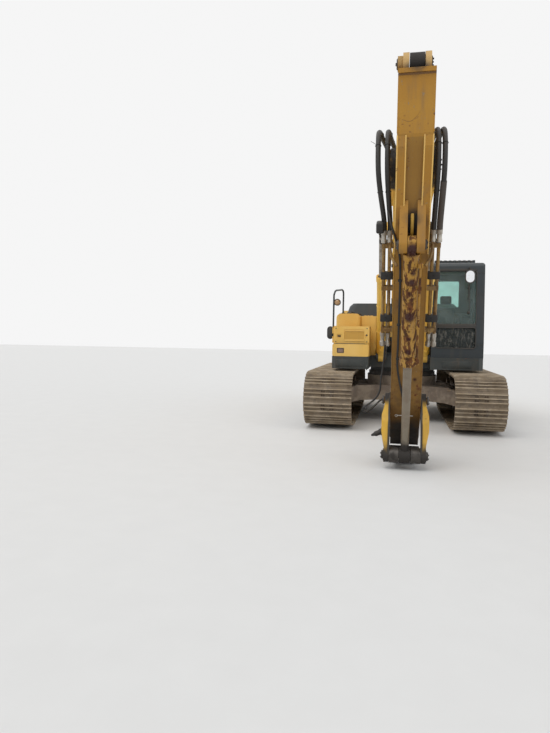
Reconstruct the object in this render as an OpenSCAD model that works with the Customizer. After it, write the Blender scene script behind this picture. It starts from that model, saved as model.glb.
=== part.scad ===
/* [Undercarriage] */
// Distance between the middles of the two tracks
track_gauge = 2590; // [2400:10:2800]
// Width of a track shoe
shoe_w = 850; // [600:10:900]
// Shoes in each track loop
shoe_count = 48; // [44:1:52]
// Distance from the idler's axle to the sprocket's axle
axle_base = 3960; // [3800:10:4100]
// Radius of the chain's pin line round idler and sprocket
wheel_r = 392; // [360:1:420]
// Height of the idler's and sprocket's axles
wheel_z = 542; // [520:1:580]
// Length of the flat stretch of track on the ground
flat_len = 3000; // [2800:10:3200]
// Height of a grouser bar above its shoe plate
grouser_h = 30; // [15:1:40]
// Thickness of a shoe plate
shoe_t = 12; // [8:1:16]
// Distance from the chain's pin line out to the shoe plate
link_out = 48; // [40:1:60]
// Distance from the pin line in to the rail that the rollers run on
link_in = 50; // [40:1:60]
// Width of one chain rail
rail_t = 42; // [30:1:60]
// Gap between the two rails of a chain
rail_gap = 100; // [80:1:120]
// Number of bottom rollers in each track frame
roller_count = 9; // [6:1:9]
// Radius of a bottom roller's tread
roller_r = 95; // [80:1:100]
// Radius of a carrier roller's tread
carrier_r = 70; // [50:1:80]
// Distance between the two carrier rollers
carrier_span = 1240; // [900:10:1500]
// Thickness of the swing bearing's fixed race
bearing_h = 80; // [60:1:100]
// Outer diameter of the swing bearing
bearing_d = 1350; // [1200:10:1450]

/* [Upper structure] */
// Height of the deck's underside
deck_bottom = 1070; // [1060:5:1120]
// Height of the deck's edge frame
deck_h = 230; // [180:5:260]
// Thickness of the deck's top plate
deck_plate_t = 14; // [8:1:25]
// Half of the upper structure's width
house_half_w = 1470; // [1400:10:1495]
// Radius of the counterweight's tail from the swing centre
tail_r = 3300; // [3200:10:3450]
// Height of the counterweight's top
weight_top = 2330; // [2150:10:2400]
// Height of the engine house's flat top
house_top = 2090; // [1950:10:2200]
// Thickness of the house's walls and doors
house_wall = 40; // [25:1:50]
// Height of the raised engine hood above the house's top
hood_rise = 370; // [250:10:380]
// Thickness of the tower plates that carry the boom's foot
tower_t = 50; // [30:1:60]
// Space between the two tower plates
tower_gap = 620; // [560:10:640]

/* [Cab] */
// Width of the cab
cab_w = 950; // [880:10:950]
// Length of the cab
cab_l = 1790; // [1600:10:1790]
// Distance of the cab's front from the swing centre
cab_front = 1170; // [1100:10:1250]
// Height of the cab's roof above the ground
cab_top = 3100; // [3000:10:3200]
// Thickness of the cab's walls and door
cab_wall = 55; // [40:1:65]
// Thickness of the window glass
glass_t = 8; // [5:1:12]
// Distance that the windscreen leans back at the roof
screen_lean = 130; // [0:5:160]

/* [Front equipment] */
// Forward place of the boom's foot pin
foot_f = 150; // [100:5:200]
// Height of the boom's foot pin
foot_z = 1950; // [1900:5:2000]
// Distance from the boom's foot pin to its nose pin
boom_len = 6020; // [5800:10:6200]
// Angle of the boom's pin line above level, as parked
boom_angle = 15.5; // [13:0.5:18]
// Height of the boom's bend above its pin line
bend_h = 870; // [800:10:900]
// Distance of the bend along the pin line
bend_at = 2750; // [2600:10:2900]
// Half depth of the boom's box at the bend
bend_half = 385; // [350:5:400]
// Width of the boom's box
boom_w = 410; // [380:5:450]
// Thickness of the boom's flange plates
flange_t = 18; // [12:1:25]
// Width that the flange plates stand out past each side plate
flange_lip = 15; // [10:1:25]
// Distance from the arm's pivot to its bucket pin
arm_len = 3460; // [3350:10:3500]
// Direction of the arm's pin line, as parked
arm_angle = -113.2; // [-115:0.2:-111]
// Width of the arm's box
arm_w = 366; // [340:2:370]
// Length of the side links
side_link_len = 720; // [705:1:735]
// Length of the cross link
cross_link_len = 600; // [560:5:620]

/* [Rams] */
// Outer diameter of a boom ram's barrel
boom_ram_d = 165; // [150:1:190]
// Diameter of a boom ram's rod
boom_rod_d = 95; // [80:1:98]
// Length of a boom ram's barrel from its foot pin
boom_barrel = 1800; // [1700:5:1805]
// Outer diameter of the arm ram's barrel
arm_ram_d = 190; // [170:1:210]
// Diameter of the arm ram's rod
arm_rod_d = 110; // [90:1:120]
// Length of the arm ram's barrel from its foot pin
arm_barrel = 2060; // [1950:5:2100]
// Outer diameter of the bucket ram's barrel
bucket_ram_d = 170; // [150:1:185]
// Diameter of the bucket ram's rod
bucket_rod_d = 100; // [80:1:110]
// Length of the bucket ram's barrel from its foot pin
bucket_barrel = 1410; // [1350:5:1450]
// Diameter of the ram's pins
pin_d = 90; // [70:1:100]

/* [Clearances] */
// Clearance all round a pin in its bore
pin_fit = 0.1; // [0.05:0.01:0.1]
// Clearance between flat faces of pieces that turn against each other
side_fit = 5; // [5:0.5:8]
// Gap that seated pieces keep from their seat
seat_fit = 0.3; // [0.2:0.05:0.5]
// Clearance all round a ram's rod and piston
rod_fit = 0.5; // [0.3:0.1:0.8]
// Gap all round a door or lid
door_gap = 7; // [6:0.5:9]

/* [Hidden] */
$fn = 48;

// Shift that puts the middle of the whole length at the origin
swing_y = 1620;
deck_top = deck_bottom + deck_h;
// Foot of the pieces that stand on the deck
on_deck = deck_top + seat_fit;
boom_foot = [foot_f, foot_z];

// Turns a (forward, up) pair by an angle
function turned(p, a) = [p[0] * cos(a) - p[1] * sin(a), p[0] * sin(a) + p[1] * cos(a)];
// Places of points given on the boom and on the arm, in (forward, up)
function on_boom(p) = boom_foot + turned(p, boom_angle);
nose = on_boom([boom_len, 0]);
function on_arm(p) = nose + turned(p, arm_angle);
// Distance and direction between two (forward, up) places
function span(a, b) = norm(b - a);
function heading(a, b) = atan2(b[1] - a[1], b[0] - a[0]);

// Draws a side view, given in (forward, up), as a plate from x0 to x0 + t
module from_side(x0, t) {
    translate([x0 + t, 0, 0]) rotate([90, 0, -90]) linear_extrude(t) children();
}
// The same plate on both sides of the middle
module both_sides(x0, t) {
    from_side(x0, t) children();
    from_side(-x0 - t, t) children();
}
// A round bar across the machine at a (forward, up) place
module bar_x(p, x0, len, d) {
    translate([x0, -p[0], p[1]]) rotate([0, 90, 0]) cylinder(h = len, d = d);
}
// A round bar on both sides of the middle
module bars_x(p, x0, len, d) {
    bar_x(p, x0, len, d);
    bar_x(p, -x0 - len, len, d);
}
// A round bar that runs forward from f0
module bar_f(f0, len, x, z, d) {
    translate([x, -f0, z]) rotate([90, 0, 0]) cylinder(h = len, d = d);
}
// A box given by its lowest corner and its size in (across, forward, up)
module block(x, f, z, w, l, h) {
    translate([x, -f - l, z]) cube([w, l, h]);
}
// Draws a front view, given in (across, up), as a plate from f0 forward to f0 + t
module facing(f0, t) {
    translate([0, -f0, 0]) rotate([90, 0, 0]) linear_extrude(t) children();
}
module rounded(x, z, w, h, r) {
    translate([x + r, z + r]) offset(r = r) square([w - 2 * r, h - 2 * r]);
}
// Straight round bars joined by balls through the points
module bent_bar(pts, d) {
    for (i = [1 : len(pts) - 1]) {
        run = pts[i] - pts[i - 1];
        translate(pts[i - 1]) rotate([0, acos(run[2] / norm(run)), atan2(run[1], run[0])])
            cylinder(h = norm(run), d = d);
        if (i < len(pts) - 1) translate(pts[i]) sphere(d = d);
    }
}
// Puts a piece drawn along the forward axis at a place and turns it
module posed(p, a) {
    translate([0, -p[0], p[1]]) rotate([-a, 0, 0]) children();
}

// Track loop: pin line of the chain, walked from the middle of the ground run
pin_z = grouser_h + shoe_t + link_out;
half_flat = flat_len / 2;
half_base = axle_base / 2;
ramp_start = [half_flat, pin_z];
wheel_c = [half_base, wheel_z];
ramp_reach = norm(wheel_c - ramp_start);
ramp_len = sqrt(ramp_reach * ramp_reach - wheel_r * wheel_r);
ramp_dir = heading(ramp_start, wheel_c) - asin(wheel_r / ramp_reach);
arc_len = wheel_r * PI * (180 - ramp_dir) / 180;
half_loop = half_flat + ramp_len + arc_len + half_base;
shoe_pitch = 2 * half_loop / shoe_count;

// Place and heading [forward, up, heading] at a distance along the pin line
function loop_at(s) =
    s > half_loop ? let (m = loop_at(2 * half_loop - s)) [-m[0], m[1], 360 - m[2]] :
    s < half_flat ? [s, pin_z, 0] :
    s < half_flat + ramp_len ?
        let (d = s - half_flat)
        [half_flat + d * cos(ramp_dir), pin_z + d * sin(ramp_dir), ramp_dir] :
    s < half_flat + ramp_len + arc_len ?
        let (a = ramp_dir + (s - half_flat - ramp_len) / wheel_r * 180 / PI)
        [half_base + wheel_r * sin(a), wheel_z - wheel_r * cos(a), a] :
    [half_loop - s, wheel_z + wheel_r, 180];
function joint(i) = loop_at(((i + shoe_count) % shoe_count) * shoe_pitch);
// A point t along and n outward from the middle of shoe i
function on_shoe(i, t, n) =
    let (a = joint(i), b = joint(i + 1), p = [a[0], a[1]], q = [b[0], b[1]], h = heading(p, q))
    (p + q) / 2 + turned([t, -n], h);
// A point n outward from the chain joint i
function off_joint(i, n) = let (j = joint(i)) [j[0], j[1]] + turned([0, -n], j[2]);
// Joints at which the chain bends, so that straight runs get no points
bends = [for (i = [0 : shoe_count - 1])
    if (abs(joint(i + 1)[2] - joint(i - 1)[2]) > 0.1 && i > 0) i];

plate_n = link_out + shoe_t;
tip_n = plate_n + grouser_h;
grouser_base = 11;
grouser_tip = 7;
// Middle of each of the three bars, as a share of the pitch
bar_places = [-0.33, 0, 0.33];
shoe_profile = [for (b = bar_places, q = [
    [-grouser_base, plate_n], [-grouser_tip, tip_n], [grouser_tip, tip_n], [grouser_base, plate_n]])
    [b * shoe_pitch + q[0], q[1]]];

module ring_of(outer, inner) {
    n = len(outer);
    polygon(concat(outer, inner), [[for (i = [0 : n - 1]) i], [for (i = [0 : len(inner) - 1]) n + i]]);
}
module track() {
    shoes_outer = [for (i = [0 : shoe_count - 1], q = shoe_profile) on_shoe(i, q[0], q[1])];
    shoes_inner = [for (i = bends) off_joint(i, link_out)];
    rail_outer = [for (i = bends) off_joint(i, link_out + shoe_t / 2)];
    rail_inner = [for (i = bends) off_joint(i, -link_in)];
    color("tan") {
        from_side(-shoe_w / 2, shoe_w) ring_of(shoes_outer, shoes_inner);
        both_sides(rail_gap / 2, rail_t) ring_of(rail_outer, rail_inner);
    }
}

rail_out = rail_gap / 2 + rail_t;
roller_z = pin_z + link_in + seat_fit + roller_r;
carrier_z = wheel_z + wheel_r - link_in - seat_fit - carrier_r;
frame_in = rail_out + 26;
frame_wall = 24;
frame_out = frame_in + frame_wall;
// The end rollers stay where the rail is still straight
end_roller = floor(half_flat / shoe_pitch) * shoe_pitch - 10;
roller_step = 2 * end_roller / (roller_count - 1);
flange_h = 20;
flange_w = 12;

// A roller on the two rails, with outer flanges and a stub axle into the frame
module roller(p, r) {
    tread = rail_t + 2;
    bars_x(p, rail_gap / 2 - 1, tread, 2 * r);
    bars_x(p, rail_gap / 2 - 1 + tread, flange_w, 2 * (r + flange_h));
    bar_x(p, -rail_gap / 2, rail_gap, 2 * (r - 25));
    bar_x(p, -frame_in + seat_fit, 2 * (frame_in - seat_fit), 70);
}
module rollers() {
    color("dimgray") {
        for (i = [0 : roller_count - 1])
            roller([-(roller_count - 1) / 2 * roller_step + i * roller_step, roller_z], roller_r);
        for (s = [-1, 1]) roller([s * carrier_span / 2, carrier_z], carrier_r);
    }
}

// Half turn of one shoe round the wheels, for the flat of each link on the idler
half_turn = shoe_pitch / 2 / wheel_r * 180 / PI;
idler_r = wheel_r * cos(half_turn) - link_in - seat_fit;
idler_axle_d = 110;
module idler() {
    color("dimgray") {
        bars_x(wheel_c, 38, rail_out - 38, 2 * idler_r);
        bar_x(wheel_c, -38, 76, 2 * (idler_r + 22));
        bar_x(wheel_c, -frame_in + seat_fit, 2 * (frame_in - seat_fit), idler_axle_d);
    }
}

sprocket_teeth = 23;
sprocket_half_w = 38;
tooth_tip = wheel_r + 14;
tooth_root = wheel_r - 36;
final_drive_d = 520;
module sprocket(side) {
    c = [-half_base, wheel_z];
    step = 360 / sprocket_teeth;
    pts = [for (i = [0 : sprocket_teeth - 1], q = [
        [-0.36, tooth_root], [-0.13, tooth_tip], [0.13, tooth_tip], [0.36, tooth_root]])
        c + q[1] * [cos((i + q[0]) * step), sin((i + q[0]) * step)]];
    color("dimgray") {
        from_side(-sprocket_half_w, 2 * sprocket_half_w) polygon(pts);
        scale_x = side > 0 ? 0 : 1;
        mirror([scale_x, 0, 0]) {
            bar_x(c, sprocket_half_w, 60, final_drive_d);
            bar_x(c, sprocket_half_w + 60, 130, final_drive_d - 110);
            bar_x(c, sprocket_half_w + 190, 22, final_drive_d - 240);
        }
    }
}

frame_low = roller_z + roller_r + flange_h + 12;
frame_high = 640;
frame_front = half_base - idler_r - 30;
frame_back = half_base - tooth_tip - 20;
skirt_low = roller_z - 60;
// Side view of the track frame's closed box
module frame_outline() {
    polygon([
        [-frame_back, frame_low], [-frame_back, 600], [-frame_back + 260, frame_high],
        [frame_front - 420, frame_high], [frame_front, 560], [frame_front, frame_low]]);
}
module track_frame() {
    color("saddlebrown") {
        from_side(-frame_out, 2 * frame_out) frame_outline();
        // Mud slope along the top
        from_side(-frame_out + 50, 2 * frame_out - 100)
            polygon([[-frame_back + 260, frame_high - 2], [-frame_back + 300, frame_high + 45],
                [frame_front - 460, frame_high + 45], [frame_front - 420, frame_high - 2]]);
        difference() {
            // Skirts that carry the rollers' axles
            both_sides(frame_in, frame_wall)
                polygon([
                    [-half_flat + 20, skirt_low], [half_flat - 20, skirt_low],
                    [half_flat + 60, frame_low + 5], [-half_flat - 60, frame_low + 5]]);
            for (i = [0 : roller_count - 1])
                bar_x([-(roller_count - 1) / 2 * roller_step + i * roller_step, roller_z],
                    -frame_out - 1, 2 * frame_out + 2, 56);
        }
        // Yoke arms that hold the idler
        both_sides(frame_in, frame_wall)
            polygon([[frame_front - 60, frame_low + 20], [half_base + 90, wheel_z - 80],
                [half_base + 90, wheel_z + 70], [frame_front - 60, 580]]);
        // Brackets of the carrier rollers
        for (s = [-1, 1]) both_sides(frame_in, frame_wall)
            translate([s * carrier_span / 2, 0]) polygon([
                [-90, frame_high - 20], [90, frame_high - 20], [50, carrier_z + 45], [-50, carrier_z + 45]]);
    }
}
// Drive motor case on the inner side of the sprocket, with its arms to the frame
module drive_case(inner) {
    c = [-half_base, wheel_z];
    from = sprocket_half_w + seat_fit;
    color("saddlebrown") mirror([inner > 0 ? 0 : 1, 0, 0]) {
        bar_x(c, from, 110, final_drive_d - 40);
        bar_x(c, from + 110, 60, final_drive_d - 180);
        from_side(rail_out + 10, frame_out - rail_out - 10)
            polygon([[-half_base + 60, wheel_z - 190], [-frame_back + 40, frame_low + 10],
                [-frame_back + 40, 590], [-half_base + 60, wheel_z + 190]]);
    }
}

module side_of_track(s) translate([s * track_gauge / 2, 0, 0]) children();
module track_left() side_of_track(1) track();
module track_right() side_of_track(-1) track();
module rollers_left() side_of_track(1) rollers();
module rollers_right() side_of_track(-1) rollers();
module track_frame_left() side_of_track(1) { track_frame(); drive_case(-1); }
module track_frame_right() side_of_track(-1) { track_frame(); drive_case(1); }
module idlers() { side_of_track(1) idler(); side_of_track(-1) idler(); }
module sprockets() { side_of_track(1) sprocket(1); side_of_track(-1) sprocket(-1); }

// Carbody: four legs from the swing pedestal to the track frames
body_edge = track_gauge / 2 - frame_out;
pedestal_top = deck_bottom - 90 - bearing_h;
carbody_low = 420;
carbody_high = 715;
module carbody() {
    color("rosybrown") {
        intersection() {
            translate([0, 0, carbody_low - 200]) linear_extrude(500) polygon([
                [body_edge, 640], [body_edge, 1230], [520, 800], [-520, 800],
                [-body_edge, 1230], [-body_edge, 640], [-640, 300], [-640, -300],
                [-body_edge, -640], [-body_edge, -1230], [-520, -800], [520, -800],
                [body_edge, -1230], [body_edge, -640], [640, -300], [640, 300]]);
            translate([0, 1300, 0]) rotate([90, 0, 0]) linear_extrude(2600) polygon([
                [-body_edge, 350], [-body_edge, 590], [-860, carbody_high], [860, carbody_high],
                [body_edge, 590], [body_edge, 350], [800, carbody_low], [-800, carbody_low]]);
        }
        translate([0, 0, carbody_high - 5]) cylinder(h = pedestal_top - carbody_high + 5, d = bearing_d + 60);
    }
}
module swing_bearing() {
    color("dimgray") translate([0, 0, pedestal_top]) difference() {
        cylinder(h = bearing_h, d = bearing_d);
        translate([0, 0, -1]) cylinder(h = bearing_h + 2, d = bearing_d - 260);
    }
}

// Deck: edge frame, top plate, centre beams and the bearing's turning race
// The cab's inner wall stands clear of the boom ram's gland
ram_x = 415;
cab_from_ram = 105;
cab_right = ram_x + cab_from_ram;
cab_left = cab_right + cab_w;
deck_front_cab = cab_front + 60;
step_front = 1620;
deck_back = 2380;
deck_front_mid = 735;
edge_w = 120;
// Plan of the deck in (across, forward)
module deck_plan() {
    polygon([
        [-house_half_w, -deck_back], [house_half_w, -deck_back], [house_half_w, deck_front_cab - 80],
        [house_half_w - 80, deck_front_cab], [cab_right - 10, deck_front_cab],
        [cab_right - 10, deck_front_mid], [box_in, deck_front_mid], [box_in, step_front],
        [box_side + 60, step_front], [box_side - 10, step_front - 70], [box_side - 10, -480],
        [-house_half_w, -480]]);
}
module plan(z, h) {
    translate([0, 0, z]) mirror([0, 1, 0]) linear_extrude(h) children();
}
module deck() {
    race_gap = 0.5;
    color("slategray") {
        difference() {
            plan(deck_bottom, deck_h) deck_plan();
            plan(deck_bottom - 1, deck_h - deck_plate_t + 1) offset(delta = -edge_w) deck_plan();
        }
        // Centre beams under the towers
        for (s = [-1, 1])
            block(s * (tower_gap / 2 + tower_t / 2) - 60, -deck_back + edge_w - 5, deck_bottom,
                120, deck_back - edge_w + deck_front_mid - edge_w + 10, deck_h - deck_plate_t + 2);
        block(-bearing_d / 2, -bearing_d / 2, deck_bottom, bearing_d, bearing_d, 40);
        translate([0, 0, pedestal_top + bearing_h + race_gap])
            cylinder(h = deck_bottom + 20 - pedestal_top - bearing_h - race_gap, d = bearing_d - 60);
    }
}

// Towers that carry the boom's foot and the feet of the boom rams
ram_eye_w = 100;
ram_foot = [930, 1290];
tower_lug_t = 30;
ram_eye_d = 200;
boom_foot_half = tower_gap / 2 - side_fit;
lug_x = ram_x + ram_eye_w / 2 + side_fit;
lug_end = lug_x + tower_lug_t + 8;
module towers() {
    color("darkslategray") {
        both_sides(tower_gap / 2, tower_t) {
            hull() {
                translate(boom_foot) circle(r = 190);
                translate([-1150, on_deck]) square([1750, 30]);
                translate([-420, on_deck]) square([600, 420]);
            }
            tower_nose();
        }
        // Cross wall behind the foot
        block(-tower_gap / 2 - 2, -620, on_deck, tower_gap + 4, 30, 380);
        // Foot pin of the boom
        bar_x(boom_foot, -tower_gap / 2 - tower_t - 25, tower_gap + 2 * tower_t + 50, pin_d + 30);
        // Outer lugs and pins of the boom rams, with a front plate on the deck
        both_sides(lug_x, tower_lug_t) tower_nose();
        bars_x(ram_foot, tower_gap / 2, lug_end - tower_gap / 2, pin_d);
        block(-lug_x - tower_lug_t, 560, on_deck, 2 * (lug_x + tower_lug_t), 40, 60);
    }
}
// Side view of the lugs at the boom rams' feet
ram_lug_r = 92;
module tower_nose() {
    hull() {
        translate(ram_foot) circle(r = ram_lug_r);
        translate([deck_front_mid + 2, ram_foot[1] - ram_lug_r + 20]) square([20, 2 * ram_lug_r - 20]);
    }
    translate([480, on_deck]) square([deck_front_mid - 470, 130]);
}

module counterweight() {
    weight_low = 1190;
    weight_depth = 950;
    front = -deck_back - seat_fit;
    color("gold") intersection() {
        translate([0, 0, weight_low]) cylinder(h = weight_top - weight_low, r = tail_r, $fn = 128);
        plan(weight_low - 1, weight_top - weight_low + 2)
            rounded(-house_half_w, -tail_r - 40, 2 * house_half_w, weight_depth + 400, 240);
        difference() {
            block(-house_half_w, front - weight_depth, weight_low, 2 * house_half_w, weight_depth,
                weight_top - weight_low);
            // Undercut at the low rear edge and round corners at the sides
            from_side(-house_half_w - 10, 2 * house_half_w + 20)
                polygon([[-tail_r - 50, weight_low - 10], [-tail_r + 260, weight_low - 10],
                    [-tail_r - 50, weight_low + 230]]);
            from_side(-house_half_w - 10, 2 * house_half_w + 20)
                polygon([[-tail_r - 50, weight_top + 10], [-tail_r + 200, weight_top + 10],
                    [-tail_r - 50, weight_top - 110]]);
        }
    }
}

// Upright hinges on outer wall faces: a door's knuckle turns between two fixed ones
hinge_d = 26;
hinge_h = 60;
leaf_l = 70;
leaf_t = 6;
leaf_root = 1;
knuckle_step = hinge_h + seat_fit;
// One knuckle at x, with its leaf along the wall to the front (1) or to the back (-1)
module knuckle(s, x, f, z, toward) {
    translate([x + s * hinge_d / 2, -f, z]) cylinder(h = hinge_h, d = hinge_d);
    block(s > 0 ? x : x - leaf_t, toward > 0 ? f : f - leaf_l, z, leaf_t, leaf_l, hinge_h);
    // The leaf's root is let into the wall or door that carries it
    block(x - leaf_root, toward > 0 ? f + door_gap : f - leaf_l, z, 2 * leaf_root, leaf_l - door_gap,
        hinge_h);
}
module fixed_knuckles(s, x, f, rows, toward) {
    for (z = rows, k = [0, 2]) knuckle(s, x, f, z + k * knuckle_step, toward);
}
module door_knuckles(s, x, f, rows, toward) {
    for (z = rows) knuckle(s, x, f, z + knuckle_step, toward);
}

// Engine house behind cab and tanks
house_back = -deck_back + 10;
house_front_left = -700;
house_front_mid = -1300;
house_front_right = -1450;
bay_x = tower_gap / 2 + tower_t + 90;
module house_plan() {
    polygon([
        [-house_half_w, house_back], [house_half_w, house_back], [house_half_w, house_front_left],
        [bay_x, house_front_left], [bay_x, house_front_mid], [-bay_x, house_front_mid],
        [-bay_x, house_front_right], [-house_half_w, house_front_right]]);
}
hood_half_w = 1290;
hood_back = house_back + 60;
hood_front = house_front_mid - 60;
door_low = deck_top + 60;
// The doors' openings end at the underside of the roof plate
door_high = house_top - house_wall;
cooler_door_back = house_back + 90;
cooler_door_front = house_front_left - 90;
pump_door_back = house_back + 75;
pump_door_front = house_front_right - 50;
side_hinges = [door_low + 60, door_high - 60 - 3 * hinge_h];
module engine_house() {
    color("gold") difference() {
        plan(on_deck, house_top - on_deck) house_plan();
        plan(on_deck - 1, house_top - on_deck - house_wall + 1) offset(delta = -house_wall) house_plan();
        // Openings for the hood and the two side doors
        block(-hood_half_w + 60, hood_back + 60, house_top - house_wall - 5, 2 * hood_half_w - 120,
            hood_front - hood_back - 120, house_wall + 10);
        block(house_half_w - house_wall - 5, cooler_door_back, door_low, house_wall + 10,
            cooler_door_front - cooler_door_back, door_high - door_low);
        block(-house_half_w - 5, pump_door_back, door_low, house_wall + 10,
            pump_door_front - pump_door_back, door_high - door_low);
    }
    color("gold") {
        fixed_knuckles(1, house_half_w, cooler_door_back + door_gap / 2, side_hinges, -1);
        fixed_knuckles(-1, -house_half_w, pump_door_back + door_gap / 2, side_hinges, -1);
        for (x = hood_hinges, k = [0, 2]) hood_knuckle(x + k * knuckle_step, 1);
    }
}
// Level hinge at the hood's front edge
hood_hinges = [-400, 400 - 3 * hinge_h];
hood_axis = [hood_front + 14, house_top + hinge_d / 2 + 1];
module hood_knuckle(x, toward) {
    bar_x(hood_axis, x, hinge_h, hinge_d);
    if (toward > 0) block(x, hood_axis[0], house_top - 3, hinge_h, 44, leaf_t + 3);
    else block(x, hood_axis[0] - 20, house_top + 8, hinge_h, 20, leaf_t);
}
module engine_block() {
    color("dimgray") {
        block(-520, -2200, on_deck, 1040, 680, 620);
        // Cooler pack on the left and pump on the right
        block(760, -2150, on_deck, 180, 1250, 640);
        bar_x([-1850, deck_top + 260], -980, 470, 300);
        block(-960, -1990, on_deck, 60, 280, 120);
    }
}
hood_wall = 35;
hood_slots = 6;
// Hood with steep sides and a rounded shoulder, smaller all round by a wall
hood_corner_r = 110;
module hood_shell(wall, z) {
    // Rows of [inset at each side, inset at the back, height]
    levels = [[0, 0, wall > 0 ? -2 : 0], [26, 24, hood_rise - 190], [62, 54, hood_rise - 90],
        [140, 120, hood_rise - wall - 20]];
    $fn = 24;
    hull() for (l = levels)
        rounded_box(-hood_half_w + l[0] + wall, hood_half_w - l[0] - wall, hood_back + l[1] + wall,
            hood_front - 40 * sign(l[1]) - wall, z + l[2], z + l[2] + 20, hood_corner_r);
}
module engine_hood() {
    z = house_top + seat_fit;
    color("dimgray") difference() {
        hood_shell(0, z);
        hood_shell(hood_wall, z);
        // Grille slots in the top
        for (i = [0 : hood_slots - 1], s = [-1, 1])
            block(s * 560 - 330, hood_back + 250 + i * 75, z + hood_rise - 60, 660, 30, 80);
    }
    color("dimgray") for (x = hood_hinges) hood_knuckle(x + knuckle_step, -1);
}
// A flat door in the side wall, with louvre slots in a row
module side_door(s, back, front, slots) {
    x0 = house_half_w - house_wall;
    low = door_low + door_gap;
    high = door_high - door_gap;
    color("gold") {
        difference() {
            block(s > 0 ? x0 : -house_half_w, back + door_gap, low, house_wall,
                front - back - 2 * door_gap, high - low);
            if (slots > 0) for (i = [0 : slots - 1])
                block(s > 0 ? x0 - 5 : -house_half_w - 5, back + 160, low + 130 + i * 60, house_wall + 10,
                    front - back - 420, 22);
        }
        door_knuckles(s, s * house_half_w, back + door_gap / 2, side_hinges, 1);
    }
}
module cooler_door() side_door(1, cooler_door_back, cooler_door_front, 6);
module pump_door() side_door(-1, pump_door_back, pump_door_front, 3);

// Fuel tank and hydraulic tank on the right
tank_side = -1330;
tank_top = 2135;
// Seam between the two boxes of the front tank
tank_seam = -832;
tank_in = -lug_end - 10;
module rounded_box(x0, x1, f0, f1, z0, z1, r) {
    plan(z0, z1 - z0) translate([x0 + r, f0 + r]) offset(r = r) square([x1 - x0 - 2 * r, f1 - f0 - 2 * r]);
}
tank_front = 720;
module tanks() {
    color("gold") {
        rounded_box(tank_side, tank_in, -1430, -480, on_deck, house_top, 50);
        intersection() {
            rounded_box(tank_side, tank_seam - 5, -460, tank_front, on_deck, tank_top, 60);
            facing(-470, tank_front + 480) rounded(tank_side, on_deck - 200, tank_seam - 5 - tank_side,
                tank_top - on_deck + 200, 100);
        }
        rounded_box(tank_seam - 10, tank_in, -460, tank_front - 60, on_deck, tank_top - 45, 40);
        // Filler cap, and a guard bar round it
        translate([-1080, 100, tank_top - 5]) cylinder(h = 45, d = 150);
    }
}
box_in = -629;
box_side = -1304;
box_back = 740;
box_front = 1420;
box_top = 1870;
box_wall = 20;
box_door_t = 24;
box_low = 1535;
module tool_box() {
    color("gold") difference() {
        block(box_side, box_back, on_deck, box_in - box_side, box_front - box_back, box_top - on_deck);
        block(box_side + box_wall, box_back + box_wall, box_low + box_wall, box_in - box_side - 2 * box_wall,
            box_front - box_back, box_top - box_low - 2 * box_wall);
    }
    color("gold") for (z = box_hinges, k = [0, 2]) box_knuckle(z + k * box_knuckle_step, -1);
}
module tool_box_door() {
    f = box_front + side_fit;
    color("gold") difference() {
        facing(f, box_door_t) rounded(box_side, box_low, box_in - box_side, box_door_top - box_low, 40);
        // Recessed panel and the handle's pocket
        facing(f + box_door_t - 8, 20) rounded(box_side + 201, box_low + 85, 382, 190, 25);
        facing(f + box_door_t - 14, 20) rounded(box_side + 67, box_low + 105, 80, 76, 15);
    }
    color("gold") for (z = box_hinges) box_knuckle(z + box_knuckle_step, 1);
}
// Upright hinge on the tool box's outer side, at its front edge
box_door_top = box_top - 8;
box_knuckle_h = 40;
box_knuckle_step = box_knuckle_h + seat_fit;
box_hinges = [box_low + 15, box_door_top - 15 - 3 * box_knuckle_step];
box_hinge_f = box_front + side_fit / 2;
module box_knuckle(z, toward) {
    translate([box_side - hinge_d / 2, -box_hinge_f, z]) cylinder(h = box_knuckle_h, d = hinge_d);
    block(box_side - leaf_t, toward > 0 ? box_hinge_f : box_hinge_f - leaf_l, z, leaf_t,
        toward > 0 ? side_fit / 2 + box_door_t : leaf_l, box_knuckle_h);
}
module step_box() {
    color("gold") difference() {
        translate([0, -step_front, 0]) rotate([90, 0, 0]) mirror([0, 0, 1])
            linear_extrude(step_front - box_front - box_door_t - 40)
            rounded(box_side, on_deck, box_in - box_side, 230, 30);
        block(box_side + 86, step_front - 20, on_deck + 60, 133, 30, 95);
    }
}

// Cab, hollow, with its windows and door opening cut
cab_back = cab_front - cab_l;
cab_low = on_deck;
cab_floor_t = 70;
cab_roof_r = 90;
module cab_outline() {
    hull() {
        translate([cab_back, cab_low]) square([cab_l, 300]);
        translate([cab_back + cab_roof_r, cab_top - cab_roof_r]) circle(r = cab_roof_r);
        translate([cab_front - screen_lean - cab_roof_r, cab_top - cab_roof_r]) circle(r = cab_roof_r);
    }
}
pillar = 80;
// Wider pillar between the windscreen and the door
door_pillar = 145;
screen_w = cab_w - pillar - door_pillar;
roof_edge_r = 60;
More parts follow.
